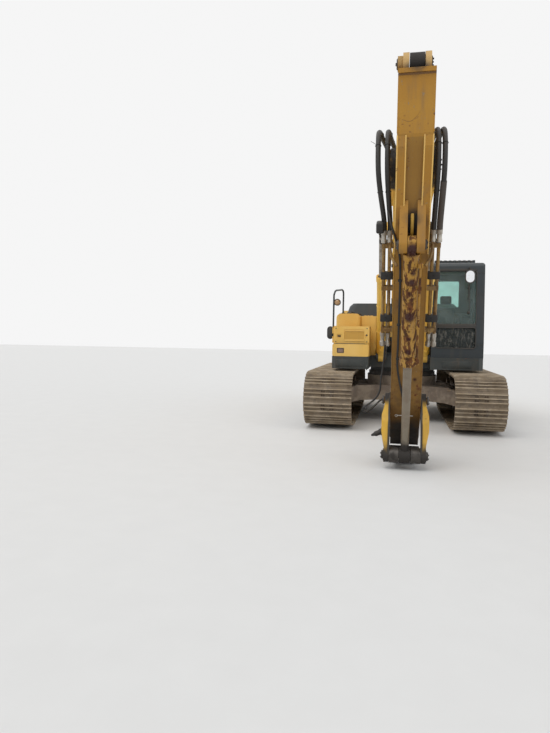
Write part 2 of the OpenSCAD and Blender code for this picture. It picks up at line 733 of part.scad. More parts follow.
// Front view of the cab, with round edges along the roof
module cab_front_view() {
    hull() {
        translate([cab_right, cab_low]) square([cab_w, 300]);
        for (x = [cab_right + roof_edge_r, cab_left - roof_edge_r])
            translate([x, cab_top - roof_edge_r]) circle(r = roof_edge_r);
    }
}
rear_x = cab_right + 95;
rear_low = 2325;
rear_w = 565;
rear_h = 580;
window_r = 50;
door_glass_low = 1900;
vent_x = cab_right + 45;
vent_w = 752;
vent_l = 1150;
vent_ribs = 9;
vent_rib_w = 48;
door_back = cab_back + 560;
door_front = cab_front - 210;
door_sill = cab_low + 60;
door_head = cab_top - 150;
cab_hinges = [door_sill + 120, door_head - 150 - 3 * hinge_h];
screen_low = 1930;
screen_high = cab_top - 160;
lower_glass_low = 1480;
lower_glass_high = screen_low - 60;
module cab_shell() {
    in = cab_wall;
    color("darkslategray") difference() {
        intersection() {
            from_side(cab_right, cab_w) cab_outline();
            facing(cab_back - 10, cab_l + 20) cab_front_view();
        }
        from_side(cab_right + in, cab_w - 2 * in) difference() {
            offset(delta = -in) cab_outline();
            translate([cab_back, cab_low]) square([cab_l, cab_floor_t]);
        }
        // Windscreen, lower front window and rear window
        facing(cab_front - 400, 500) front_pane(screen_low, screen_high, 0);
        facing(cab_front - 400, 500) front_pane(lower_glass_low, lower_glass_high, 0);
        facing(cab_back - 50, 200) rounded(rear_x, rear_low, rear_w, rear_h, window_r);
        // Right side window, left rear window and door opening
        from_side(cab_right - 10, in + 20) polygon([
            [cab_back + 120, 2000], [cab_front - 220, 2000], [cab_front - 300, cab_top - 190],
            [cab_back + 120, cab_top - 190]]);
        from_side(cab_left - in - 10, in + 20) polygon([
            [cab_back + 110, 2050], [door_back - 70, 2050], [door_back - 70, cab_top - 190],
            [cab_back + 110, cab_top - 190]]);
        from_side(cab_left - in - 10, in + 20) door_outline(0);
    }
    color("darkslategray") {
        fixed_knuckles(1, cab_left, door_back + door_gap / 2, cab_hinges, -1);
        // Slatted vent on the roof
        block(vent_x, cab_back + 250, cab_top - 3, vent_w, vent_l, 33);
        for (i = [0 : vent_ribs - 1])
            block(vent_x + i * (vent_w - vent_rib_w) / (vent_ribs - 1), cab_back + 250, cab_top + 28,
                vent_rib_w, vent_l, 44);
    }
}
module front_pane(low, high, gap) {
    rounded(cab_right + pillar + gap, low + gap, screen_w - 2 * gap, high - low - 2 * gap, window_r - gap);
}
// Outline of the door, smaller all round by a gap
module door_outline(gap) {
    offset(delta = -gap) polygon([
        [door_back, door_sill], [door_front, door_sill], [door_front, screen_low + 100],
        [door_front - 100, door_head], [door_back, door_head]]);
}
module cab_door() {
    color("darkslategray") difference() {
        from_side(cab_left - cab_wall, cab_wall) door_outline(door_gap);
        from_side(cab_left - cab_wall - 5, cab_wall + 10) offset(delta = -door_gap - 75) polygon([
            [door_back, door_glass_low], [door_front, door_glass_low], [door_front, screen_low + 100],
            [door_front - 100, door_head], [door_back, door_head]]);
    }
    color("darkslategray") door_knuckles(1, cab_left, door_back + door_gap / 2, cab_hinges, 1);
}
module cab_door_glass() {
    color("lightcyan") from_side(cab_left - cab_wall / 2 - glass_t / 2, glass_t)
        offset(delta = -door_gap - 75 - seat_fit) polygon([
            [door_back, door_glass_low], [door_front, door_glass_low], [door_front, screen_low + 100],
            [door_front - 100, door_head], [door_back, door_head]]);
}
module cab_glass() {
    m = seat_fit;
    color("lightcyan") {
        // Front panes follow the lean of the front wall
        for (r = [[screen_low, screen_high], [lower_glass_low, lower_glass_high]])
            intersection() {
                from_side(cab_right + pillar, screen_w) difference() {
                        offset(delta = -cab_wall / 2 + glass_t / 2) cab_outline();
                        offset(delta = -cab_wall / 2 - glass_t / 2) cab_outline();
                    }
                facing(cab_front - 390, 480) front_pane(r[0], r[1], m);
            }
        facing(cab_back + cab_wall / 2 - glass_t / 2, glass_t)
            rounded(rear_x + m, rear_low + m, rear_w - 2 * m, rear_h - 2 * m, window_r - m);
        from_side(cab_right + cab_wall / 2 - glass_t / 2, glass_t) offset(delta = -m) polygon([
            [cab_back + 120, 2000], [cab_front - 220, 2000], [cab_front - 300, cab_top - 190],
            [cab_back + 120, cab_top - 190]]);
        from_side(cab_left - cab_wall / 2 - glass_t / 2, glass_t) offset(delta = -m) polygon([
            [cab_back + 110, 2050], [door_back - 70, 2050], [door_back - 70, cab_top - 190],
            [cab_back + 110, cab_top - 190]]);
    }
}
seat_x = cab_right + 360;
seat_f = cab_back + 420;
seat_z = cab_low + cab_floor_t + seat_fit;
module cab_seat() {
    color("dimgray") {
        block(seat_x - 180, seat_f, seat_z, 360, 380, 330);
        block(seat_x - 180, seat_f - 40, seat_z + 330, 360, 520, 130);
        from_side(seat_x - 185, 370) polygon([
            [seat_f - 40, seat_z + 330], [seat_f + 90, seat_z + 330], [seat_f - 20, seat_z + 1000],
            [seat_f - 130, seat_z + 1000]]);
        from_side(seat_x - 130, 260) polygon([
            [seat_f - 125, seat_z + 995], [seat_f - 25, seat_z + 995], [seat_f - 55, seat_z + 1200],
            [seat_f - 145, seat_z + 1200]]);
    }
}
console_x = 240;
module cab_console() {
    color("black") {
        for (s = [-1, 1]) {
            block(seat_x + s * console_x - 50, seat_f + 60, seat_z, 100, 500, 560);
            translate([seat_x + s * console_x, -seat_f - 480, seat_z + 555]) cylinder(h = 200, d = 40);
            // Travel levers and pedals
            translate([seat_x + s * 90, -seat_f - 960, seat_z + 2])
                rotate([8, 0, 0]) cylinder(h = 620, d = 26);
            block(seat_x + s * 90 - 45, seat_f + 985, seat_z, 90, 160, 40);
        }
    }
}

// Handrails on the right side and the cab's grab bar
rail_d = 34;
// Smooth curve through route points, with a few rings for each stretch
ring_steps = 4;
function route_at(r, i, t) =
    let (n = len(r) - 1, a = r[max(i - 1, 0)], b = r[i], c = r[min(i + 1, n)], d = r[min(i + 2, n)])
    ((2 * b) + (c - a) * t + (2 * a - 5 * b + 4 * c - d) * t * t + (3 * b - a - 3 * c + d) * t * t * t) / 2;
function smooth_route(r) = [
    for (i = [0 : len(r) - 2], k = [0 : ring_steps - 1]) route_at(r, i, k / ring_steps), r[len(r) - 1]];
// A tube with flat ends swept along points, with a side direction that stays clear of its run
module swept(pts, d, sides, side_dir) {
    n = len(pts);
    rings = [for (i = [0 : n - 1])
        let (run = pts[min(i + 1, n - 1)] - pts[max(i - 1, 0)], u = run / norm(run),
             v = cross(u, side_dir), a = v / norm(v), b = cross(u, a))
        for (k = [0 : sides - 1]) pts[i] + d / 2 * (cos(360 * k / sides) * a + sin(360 * k / sides) * b)];
    walls = [for (i = [0 : n - 2], k = [0 : sides - 1])
        let (k2 = (k + 1) % sides)
        [i * sides + k, (i + 1) * sides + k, (i + 1) * sides + k2, i * sides + k2]];
    ends = [[for (k = [0 : sides - 1]) k], [for (k = [sides - 1 : -1 : 0]) (n - 1) * sides + k]];
    polyhedron(rings, concat(walls, ends));
}
rail_lamp_d = 125;
// Way of the rail from its foot on the tool box's side to its foot on the tank
rail_way = [
    [box_side - rail_d / 2 - 6, -1300, 1690], [box_side - rail_d / 2 - 4, -1300, 2470],
    [-1306, -1262, 2540], [-1290, -1200, 2562], [-1222, -720, 2612], [-1208, -662, 2596],
    [-1200, -640, 2550], [-1200, -640, tank_top + seat_fit]];
module handrails() {
    color("black") {
        bent_bar(rail_way, rail_d);
        for (z = [1720, 1830]) block(box_side - rail_d / 2 - 12, 1288, z, rail_d / 2 + 12 - seat_fit, 24, 30);
        translate([-1200, -640, tank_top + seat_fit]) cylinder(h = 12, d = 70);
        // Work lamp on the front post
        bar_f(1295, 66, box_side + rail_lamp_d / 2 - 12, 2323, rail_lamp_d);
    }
}
// Distance of the cab's leaning front from the swing centre at a height
function screen_at(z) =
    cab_front - screen_lean * (z - cab_low - 300) / (cab_top - cab_roof_r - cab_low - 300);
module mirrors() {
    screen_x = 1181;
    arm_z = 2970;
    side_half = 55;
    color("black") {
        // Oval mirror beside the tool box, on its arm
        translate([box_side - side_half - 12, -box_front + 60, 1740]) oval_disc(side_half, 115, 40);
        translate([box_side - 30, -box_front + 40, 1695])
            rotate([0, 90, 0]) cylinder(h = 30 - seat_fit, d = 24);
        // Oval mirror before the windscreen, on an arm from the roof
        translate([screen_x, -cab_front - 60, 2812]) oval_disc(88, 120, 30);
        translate([screen_x - 12, -cab_front - 80, 2900]) cube([24, 20, 90]);
        translate([screen_x - 12, -cab_front - 80, arm_z])
            cube([24, 80 + cab_front - screen_at(arm_z) - seat_fit, 20]);
    }
}
// A flat disc facing forward, higher than it is wide
module oval_disc(half_w, half_h, t) {
    rotate([90, 0, 0]) linear_extrude(t) hull() {
        translate([0, half_h - half_w]) circle(r = half_w);
        translate([0, half_w - half_h]) circle(r = half_w);
    }
}
module exhaust_pipe() {
    // The stack stands on the hood and lifts with it
    color("black") translate([-50, 1900, house_top + seat_fit + hood_rise + seat_fit]) {
        cylinder(h = 240, d = 130);
        cylinder(h = 20, d = 200);
    }
}

// Boom: two straight legs joined by a bend, a box with proud flange plates
bend_r = 1500;
leg1 = atan2(bend_h, bend_at);
leg2 = atan2(-bend_h, boom_len - bend_at);
bend_tan = bend_r * tan((leg1 - leg2) / 2);
bend_steps = 8;
foot_half = 170;
nose_half = 190;
// Room round the nose pin in which the arm turns
nose_slot = 645;
// Middle line of the boom as rows of [along, up, direction, half depth]
boom_line = concat(
    [[0, 0, leg1, foot_half]],
    [for (i = [0 : bend_steps])
        let (a = leg1 + (leg2 - leg1) * i / bend_steps,
             start = [bend_at - bend_tan * cos(leg1), bend_h - bend_tan * sin(leg1)],
             c = start + bend_r * [sin(leg1), -cos(leg1)],
             p = c + bend_r * [-sin(a), cos(a)])
        [p[0], p[1], a, bend_half]],
    [[boom_len, 0, leg2, nose_half]]);
function boom_edge(s, inset) = [for (r = boom_line)
    [r[0], r[1]] + s * (r[3] - inset) * [-sin(r[2]), cos(r[2])]];
function flipped(l) = [for (i = [len(l) - 1 : -1 : 0]) l[i]];
module boom_outline(inset) polygon(concat(boom_edge(1, inset), flipped(boom_edge(-1, inset))));

ram_eye_on_boom = [2700, 850];
arm_ram_foot_on_boom = [3080, 1410];
ear_t = 60;
ear_in = arm_w / 2 + side_fit;
// Half of the space between the lugs of the arm ram's foot, wider than its barrel
foot_lug_x = arm_ram_d / 2 + 13;
lug_t = 45;
module boom() {
    posed(boom_foot, boom_angle) color("goldenrod") difference() {
        union() {
            difference() {
                union() {
                    from_side(-boom_w / 2, boom_w) boom_outline(0);
                    from_side(-boom_w / 2 - flange_lip, boom_w + 2 * flange_lip) difference() {
                        boom_outline(0);
                        boom_outline(flange_t);
                    }
                }
                // Slot for the arm between the ears of the nose
                from_side(-ear_in, 2 * ear_in) translate([boom_len, 0]) circle(r = nose_slot);
                from_side(-ear_in, 2 * ear_in) translate([boom_len, -500]) square([500, 1000]);
                from_side(-boom_w, 2 * boom_w) translate([boom_len, -500]) square([500, 1000]);
            }
            // Ears of the nose
            both_sides(ear_in, ear_t) hull() {
                translate([boom_len, 0]) circle(r = nose_half);
                translate([boom_len - 900, 235]) circle(r = 215);
            }
            bars_x([boom_len, 0], ear_in, ear_t + 26, 2 * nose_half - 110);
            bar_x([0, 0], -boom_foot_half, 2 * boom_foot_half, 2 * foot_half);
            // Bosses of the boom rams' rods and lugs of the arm ram
            bar_x(ram_eye_on_boom, -ram_x + ram_eye_w / 2 + side_fit,
                2 * ram_x - ram_eye_w - 2 * side_fit, 220);
            both_sides(foot_lug_x, lug_t) hull() {
                translate(arm_ram_foot_on_boom) circle(r = 105);
                translate([2800, 1120]) square([620, 20]);
            }
            bar_x(arm_ram_foot_on_boom, -foot_lug_x - lug_t - 12, 2 * (foot_lug_x + lug_t + 12), pin_d);
        }
        bar_x([0, 0], -boom_foot_half - 1, 2 * boom_foot_half + 2, pin_d + 30 + 2 * pin_fit);
        bar_x([boom_len, 0], -ear_in - ear_t - 40, 2 * (ear_in + ear_t + 40), arm_pin_d + 2 * pin_fit);
    }
}

// A hydraulic ram along the forward axis, its foot eye at the origin
ram_wall = 15;
ram_gland = 90;
ram_cap = 35;
piston_t = 100;
// Distance from the foot eye's rim to the start of the barrel
lug_room = 8;
module ram_barrel(len, od, rod, eye_w, eye_d) {
    bore = od - 2 * ram_wall;
    gland = ram_gland;
    start = eye_d / 2 + lug_room;
    difference() {
        union() {
            bar_x([0, 0], -eye_w / 2, eye_w, eye_d);
            block(-eye_w / 2, 0, -eye_d / 2 + 25, eye_w, start + 5, eye_d - 50);
            bar_f(start, len - start, 0, 0, od);
            bar_f(len - gland, gland, 0, 0, od + 26);
            bar_f(start, 60, 0, 0, od + 10);
        }
        bar_f(start + ram_cap, len - start - ram_cap - gland, 0, 0, bore);
        bar_f(len - gland - 1, gland + 2, 0, 0, rod + 2 * rod_fit);
        bar_x([0, 0], -eye_w / 2 - 1, eye_w + 2, pin_d + 2 * pin_fit);
    }
}
// The ram's rod with its piston, drawn from the rod eye back along the axis
module ram_rod(reach, start, od, rod, eye_w, eye_d) {
    bar_x([reach, 0], -eye_w / 2, eye_w, eye_d);
    bar_f(start, reach - start, 0, 0, rod);
    bar_f(start, piston_t, 0, 0, od - 2 * ram_wall - 2 * rod_fit);
}

boom_ram_eye = on_boom(ram_eye_on_boom);
boom_ram_reach = span(ram_foot, boom_ram_eye);
boom_ram_dir = heading(ram_foot, boom_ram_eye);
// Where each piston stands in its barrel, as parked
boom_piston_at = 968;
arm_piston_at = 1590;
bucket_piston_at = 1000;
module boom_ram_barrels() {
    color("goldenrod") for (s = [-1, 1]) translate([s * ram_x, 0, 0])
        posed(ram_foot, boom_ram_dir) ram_barrel(boom_barrel, boom_ram_d, boom_rod_d, ram_eye_w, ram_eye_d);
}
module boom_ram_rods() {
    color("silver") for (s = [-1, 1]) translate([s * ram_x, 0, 0])
        posed(ram_foot, boom_ram_dir)
            ram_rod(boom_ram_reach, boom_piston_at, boom_ram_d, boom_rod_d, ram_eye_w, ram_eye_d);
}

// Arm, drawn with its pivot at the origin and its bucket pin forward
arm_pin_d = 120;
lever = [-1010, 60];
// Half of the space between the lever's ears, and their thickness
lever_in = 80;
lever_ear_t = 62;
// The pin's lock plate stands out past the arm's side and reaches into the ear
lock_plate_out = 12;
lock_plate_t = arm_w / 2 + lock_plate_out - lever_in - lever_ear_t + 6;
// The link's pivot keeps its distance from the arm's tip
link_back = 560;
link_pivot = [arm_len - link_back, 120];
// Direction of the side links in the arm's frame, as parked
link_turn = 46.2;
bucket_ram_foot = [740, 557];
bucket_eye = link_pivot + side_link_len * [cos(link_turn), sin(link_turn)];
rib_in = 92;
tip_r = 160;
// Half of the space between the lugs of the bucket ram's foot
bucket_lug_x = 50;
// Side view of the arm's box, from the lip over the kink to the tip and back
arm_outline = [
    [-935, 240], [-370, 400], [700, 372], [arm_len - 760, 312], [arm_len - 360, 245], [arm_len - 110, 156],
    [arm_len, tip_r - 3], [arm_len, -tip_r + 3], [arm_len - 200, -165], [arm_len - 950, -190], [600, -350],
    [150, -380], [-180, -330], [-520, -130], [-850, -40]];
module arm() {
    posed(nose, arm_angle) color("goldenrod") difference() {
        union() {
            from_side(-arm_w / 2, arm_w) polygon(arm_outline);
            bar_x([0, 0], -arm_w / 2, arm_w, 400);
            // Lip along the top end, and the lock plate of the ram's pin
            from_side(-arm_w / 2 - 4, arm_w + 8) translate([-958, 196]) rotate(16) square([44, 62]);
            from_side(-arm_w / 2 - lock_plate_out, lock_plate_t)
                translate(lever + [-75, -60]) square([150, 130]);
            bar_x([arm_len, 0], -arm_w / 2, arm_w, 2 * tip_r);
            // Ears for the arm ram's rod
            both_sides(lever_in, lever_ear_t) hull() {
                translate(lever) circle(r = 105);
                translate([-880, -20]) square([60, 240]);
            }
            // Long ribs that carry the bucket ram's foot
            both_sides(rib_in, arm_w / 2 - rib_in) polygon([
                [-360, 396], [-250, 435], [520, 425], [900, 362]]);
            both_sides(bucket_lug_x, rib_in + lug_t - bucket_lug_x) hull() {
                translate(bucket_ram_foot) circle(r = 95);
                translate([300, 380]) square([500, 20]);
            }
            bar_x(bucket_ram_foot, -rib_in - lug_t - 10, 2 * (rib_in + lug_t + 10), pin_d);
            bar_x([0, 0], -ear_in - ear_t - 30, 2 * (ear_in + ear_t + 30), arm_pin_d);
            bar_x(link_pivot, -link_out_x - 22, 2 * (link_out_x + 22), pin_d);
            bar_x(link_pivot, -arm_w / 2 - 12, arm_w + 24, 180);
        }
        bar_x([arm_len, 0], -arm_w / 2 - 1, arm_w + 2, bucket_pin_d);
        // Pocket behind the lip, for the rod's eye
        from_side(-lever_in, 2 * lever_in) translate([-960, -400]) square([255, 600]);
    }
}
bucket_pin_d = 90;
arm_rod_eye_d = 200;

arm_ram_foot = on_boom(arm_ram_foot_on_boom);
arm_ram_eye = on_arm(lever);
arm_ram_reach = span(arm_ram_foot, arm_ram_eye);
arm_ram_dir = heading(arm_ram_foot, arm_ram_eye);
arm_ram_eye_w = 2 * lever_in - 2 * side_fit;
module arm_ram_barrel() {
    color("goldenrod") posed(arm_ram_foot, arm_ram_dir)
        ram_barrel(arm_barrel, arm_ram_d, arm_rod_d, 2 * (foot_lug_x - side_fit), 210);
}
module arm_ram_rod() {
    color("silver") posed(arm_ram_foot, arm_ram_dir)
        ram_rod(arm_ram_reach, arm_piston_at, arm_ram_d, arm_rod_d, arm_ram_eye_w, arm_rod_eye_d);
}

bucket_foot = on_arm(bucket_ram_foot);
bucket_end = on_arm(bucket_eye);
bucket_ram_reach = span(bucket_foot, bucket_end);
bucket_ram_dir = heading(bucket_foot, bucket_end);
bucket_eye_w = 140;
module bucket_ram_barrel() {
    color("sienna") posed(bucket_foot, bucket_ram_dir)
        ram_barrel(bucket_barrel, bucket_ram_d, bucket_rod_d, 2 * bucket_lug_x - 2 * side_fit, 190);
}
module bucket_ram_rod() {
    color("silver") posed(bucket_foot, bucket_ram_dir)
        ram_rod(bucket_ram_reach, bucket_piston_at, bucket_ram_d, bucket_rod_d, bucket_eye_w, 190);
}

link_in_x = arm_w / 2 + 17;
// Outer face of a side link at its ends and at its bulged middle
link_out_x = link_in_x + 58;
link_bulge_x = link_in_x + 92;
link_boss_r = 95;
module side_links() {
    posed(nose, arm_angle) posed(link_pivot, link_turn) color("gold") difference() {
        union() {
            intersection() {
                both_sides(link_in_x, link_bulge_x - link_in_x) hull() {
                    circle(r = link_boss_r);
                    translate([0.45 * side_link_len, 20]) circle(r = 150);
                    translate([side_link_len, 0]) circle(r = link_boss_r);
                }
                // Seen along the plates they bulge outwards in the middle
                for (s = [0, 1]) mirror([s, 0, 0]) plan(-300, 600) polygon([
                    [link_in_x, -link_boss_r - 5], [link_out_x, -link_boss_r - 5], [link_out_x, link_boss_r],
                    [link_bulge_x, 0.34 * side_link_len], [link_bulge_x, 0.62 * side_link_len],
                    [link_out_x, side_link_len - link_boss_r], [link_out_x, side_link_len + link_boss_r + 5],
                    [link_in_x, side_link_len + link_boss_r + 5]]);
            }
            bars_x([side_link_len, 0], bucket_eye_w / 2 + side_fit,
                link_out_x + 18 - bucket_eye_w / 2 - side_fit, pin_d);
        }
        bar_x([0, 0], -link_bulge_x - 1, 2 * (link_bulge_x + 1), pin_d + 2 * pin_fit);
    }
}
// Cross link, which the bucket would hang on, from the rod pin back to its free end
// Its free end hangs back and a little down, clear of the ground and the arm's tip
cross_dir = 187;
cross_boss_d = 200;
cross_half_w = link_in_x - side_fit;
module cross_link() {
    in = bucket_eye_w / 2 + side_fit;
    posed(bucket_end, cross_dir) color("dimgray") difference() {
        union() {
            bars_x([0, 0], in, cross_half_w - in, cross_boss_d);
            bar_x([cross_link_len, 0], -cross_half_w, 2 * cross_half_w, cross_boss_d - 20);
            both_sides(in + 10, 70) polygon([
                [0, -70], [0, 80], [cross_link_len, 75], [cross_link_len, -60]]);
            from_side(-in - 20, 2 * in + 40) polygon([
                [250, -40], [250, 50], [cross_link_len, 60], [cross_link_len, -50]]);
        }
        bar_x([0, 0], -cross_half_w - 1, 2 * cross_half_w + 2, pin_d + 2 * pin_fit);
        bar_x([cross_link_len, 0], -cross_half_w - 1, 2 * cross_half_w + 2, bucket_pin_d);
    }
}

// Steel pipes on the boom's top and along the arm's sides, with their clamps
pipe_d = 40;
boom_pipe_rise = 30 + seat_fit;
boom_pipe_x = [-175, -115, 115, 175];
arm_pipe_x = [-302, -238, 238, 302];
boom_pipe_from = 250;
// Top edge of the boom from the bend to the nose, on which the pipes lie
boom_top_from = boom_edge(1, 0)[bend_steps + 1];
boom_top_to = boom_edge(1, 0)[bend_steps + 2];
boom_pipe_to_nose = 1154;
boom_pipe_len = norm(boom_top_to - boom_top_from) - boom_pipe_from - boom_pipe_to_nose;
boom_clamps = [for (k = [0 : 2]) boom_pipe_from + 50 + k * (boom_pipe_len - 150) / 2];
module boom_pipes() {
    posed(boom_foot, boom_angle) posed(boom_top_from, heading(boom_top_from, boom_top_to))
    color("goldenrod") {
        for (x = boom_pipe_x) bar_f(boom_pipe_from, boom_pipe_len, x, boom_pipe_rise, pipe_d);
        for (f = boom_clamps, s = [-1, 1]) block(s * 145 - 60, f, seat_fit, 120, 50, 55);
    }
}
arm_pipe_v = 250;
arm_pipe_from = 740;
arm_pipe_len = 1160;
arm_clamps = [800, 1300, 1820];
module arm_pipes() {
    posed(nose, arm_angle) color("goldenrod") {
        for (x = arm_pipe_x) bar_f(arm_pipe_from, arm_pipe_len, x, arm_pipe_v, pipe_d);
        for (u = arm_clamps, s = [-1, 1])
            block(s > 0 ? arm_w / 2 + seat_fit : -arm_w / 2 - seat_fit - 140, u, arm_pipe_v - 32,
                140, 50, 64);
    }
}
// Hoses that hang in a loop past the boom's nose, from the boom's pipes to the arm's
hose_d = 56;
hose_sides = 8;
hose_gap = 3;
// Farthest place of each hose from the middle
hose_x = [-379, -280, 246, 312];
// Middle stretch in (share of the way outward, forward and up from the nose)
hose_route = [
    [0.3, -901, 346], [0.8, -391, 406], [1, 9, 376], [1, 279, 171], [0.9, 329, -119], [0.6, 219, -329]];
module nose_hoses() {
    start = on_boom_top(boom_pipe_from + boom_pipe_len + hose_gap);
    end = on_arm([arm_pipe_from - hose_gap, arm_pipe_v]);
    before = on_arm([arm_pipe_from - 180, arm_pipe_v]);
    color("black") for (i = [0 : len(hose_x) - 1]) {
        x0 = boom_pipe_x[i];
        x1 = arm_pipe_x[i];
        route = concat(
            [[x0, -start[0], start[1]], [x0, -start[0] - 160, start[1] + 12]],
            [for (p = hose_route)
                [hose_x[i] * p[0] + (p[1] < -250 ? x0 : x1) * (1 - p[0]), -nose[0] - p[1], nose[1] + p[2]]],
            [[x1, -before[0], before[1]], [x1, -end[0], end[1]]]);
        swept(smooth_route(route), hose_d, hose_sides, [1, 0, 0]);
    }
}
// Middle of the boom's pipes at a distance along them, in (forward, up)
function on_boom_top(d) = on_boom(boom_top_from
    + turned([d, boom_pipe_rise], heading(boom_top_from, boom_top_to)));

module placed() translate([0, swing_y, 0]) children();
placed() carbody();
placed() track_frame_left();
placed() track_frame_right();
placed() track_left();
placed() track_right();
placed() rollers_left();
placed() rollers_right();
placed() idlers();
placed() sprockets();
placed() swing_bearing();
placed() deck();
placed() towers();
placed() counterweight();
placed() engine_house();
placed() engine_block();
placed() engine_hood();
placed() cooler_door();
placed() pump_door();
placed() tanks();
placed() tool_box();
placed() tool_box_door();
placed() step_box();
placed() cab_shell();
placed() cab_glass();
placed() cab_door();
placed() cab_door_glass();
placed() cab_seat();
placed() cab_console();
placed() handrails();
placed() mirrors();
placed() exhaust_pipe();
placed() boom();
placed() boom_ram_barrels();
placed() boom_ram_rods();
placed() arm_ram_barrel();
placed() arm_ram_rod();
placed() arm();
placed() bucket_ram_barrel();
placed() bucket_ram_rod();
placed() side_links();
placed() cross_link();
placed() boom_pipes();
placed() arm_pipes();
placed() nose_hoses();
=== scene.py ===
"""Dresses the crawler excavator with its finishes, small parts, light and camera.

Lengths are in metres in the frame that the CAD shares: the machine faces -Y, up is +Z and
the cab is on the +X side. The upper structure turns about a line SWING_Y behind the middle.
"""
import logging
import math
from collections.abc import Iterable, Sequence
from dataclasses import dataclass, field, replace
from enum import Enum

import bmesh
import bpy
from mathutils import Euler, Matrix, Vector


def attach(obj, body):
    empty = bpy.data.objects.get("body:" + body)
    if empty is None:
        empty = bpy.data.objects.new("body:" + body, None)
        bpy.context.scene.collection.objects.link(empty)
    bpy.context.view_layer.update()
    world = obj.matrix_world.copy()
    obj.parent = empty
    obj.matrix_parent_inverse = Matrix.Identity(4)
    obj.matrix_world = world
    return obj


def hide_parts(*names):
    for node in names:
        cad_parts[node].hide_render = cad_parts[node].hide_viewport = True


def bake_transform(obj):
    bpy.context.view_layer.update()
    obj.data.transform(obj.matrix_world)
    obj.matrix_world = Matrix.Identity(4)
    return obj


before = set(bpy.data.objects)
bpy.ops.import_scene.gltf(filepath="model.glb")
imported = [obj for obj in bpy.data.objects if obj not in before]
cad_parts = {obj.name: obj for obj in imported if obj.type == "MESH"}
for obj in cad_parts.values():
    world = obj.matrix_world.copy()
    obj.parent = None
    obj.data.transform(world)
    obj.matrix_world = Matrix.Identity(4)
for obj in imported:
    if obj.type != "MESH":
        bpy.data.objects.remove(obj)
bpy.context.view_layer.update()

log = logging.getLogger("excavator")
Colour = tuple[float, float, float]
Point = tuple[float, float, float]
Pair = tuple[float, float]
Mesh = bmesh.types.BMesh

FULL_TURN = 2 * math.pi
SIDES = (-1, 1)
SWING_Y = 1.62
TRACK_HALF_BASE = 1.98
TRACK_WHEEL_Z = 0.542
BOOM_RAM_ENDS: tuple[Pair, Pair] = ((0.93, 1.29), (2.52465, 3.49063))
ARM_RAM_ENDS: tuple[Pair, Pair] = ((2.74118, 4.13181), (6.40408, 4.46347))
LINK_EYE: Pair = (5.20025, 0.18325)
BOOM_RAM_X = 0.415
SEAT_X = 0.88
BOOM_PIPES_X = (-0.175, -0.115, 0.115, 0.175)
FOOT_PIPES_X = (-0.222, -0.178, 0.178, 0.222)
BOOM_PIPE_RISE = 0.0303
ARM_PIPES_X = (-0.302, -0.238, 0.238, 0.302)
ARM_PIPE_RISE = 0.25
BOOM_BACK_SLOPE = 17.555
BOOM_FRONT_SLOPE = -14.899


move_to = Matrix.Translation


def at(x: float, forward: float, z: float) -> Vector:
    """Place given by its distance ahead of the swing centre instead of by Y."""
    return Vector((x, SWING_Y - forward, z))


# Shader maths
@dataclass(eq=False)
class Socket:
    """An output socket that takes part in Python arithmetic by adding Math nodes."""

    graph: "Graph"
    socket: bpy.types.NodeSocket

    def __add__(self, other: "Number") -> "Socket":
        """self + other."""
        return self.graph.math("ADD", self, other)

    def __sub__(self, other: "Number") -> "Socket":
        """self - other."""
        return self.graph.math("SUBTRACT", self, other)

    def __rsub__(self, other: "Number") -> "Socket":
        """other - self."""
        return self.graph.math("SUBTRACT", other, self)

    def __mul__(self, other: "Number") -> "Socket":
        """self * other."""
        return self.graph.math("MULTIPLY", self, other)

    __radd__ = __add__
    __rmul__ = __mul__

    def clamped(self) -> "Socket":
        """The value kept between 0 and 1."""
        return self.graph.node("ShaderNodeClamp", {}, {"Value": self})

    def step(self, low: float, high: float) -> "Socket":
        """Smooth step from 0 at low to 1 at high. With high below low it falls instead.

        Args:
            low: Value that gives 0.
            high: Value that gives 1.

        Returns:
            The stepped value.
        """
        return self.graph.node(
            "ShaderNodeMapRange", {"interpolation_type": "SMOOTHSTEP", "clamp": True},
            {"Value": self, "From Min": low, "From Max": high})


Number = Socket | float


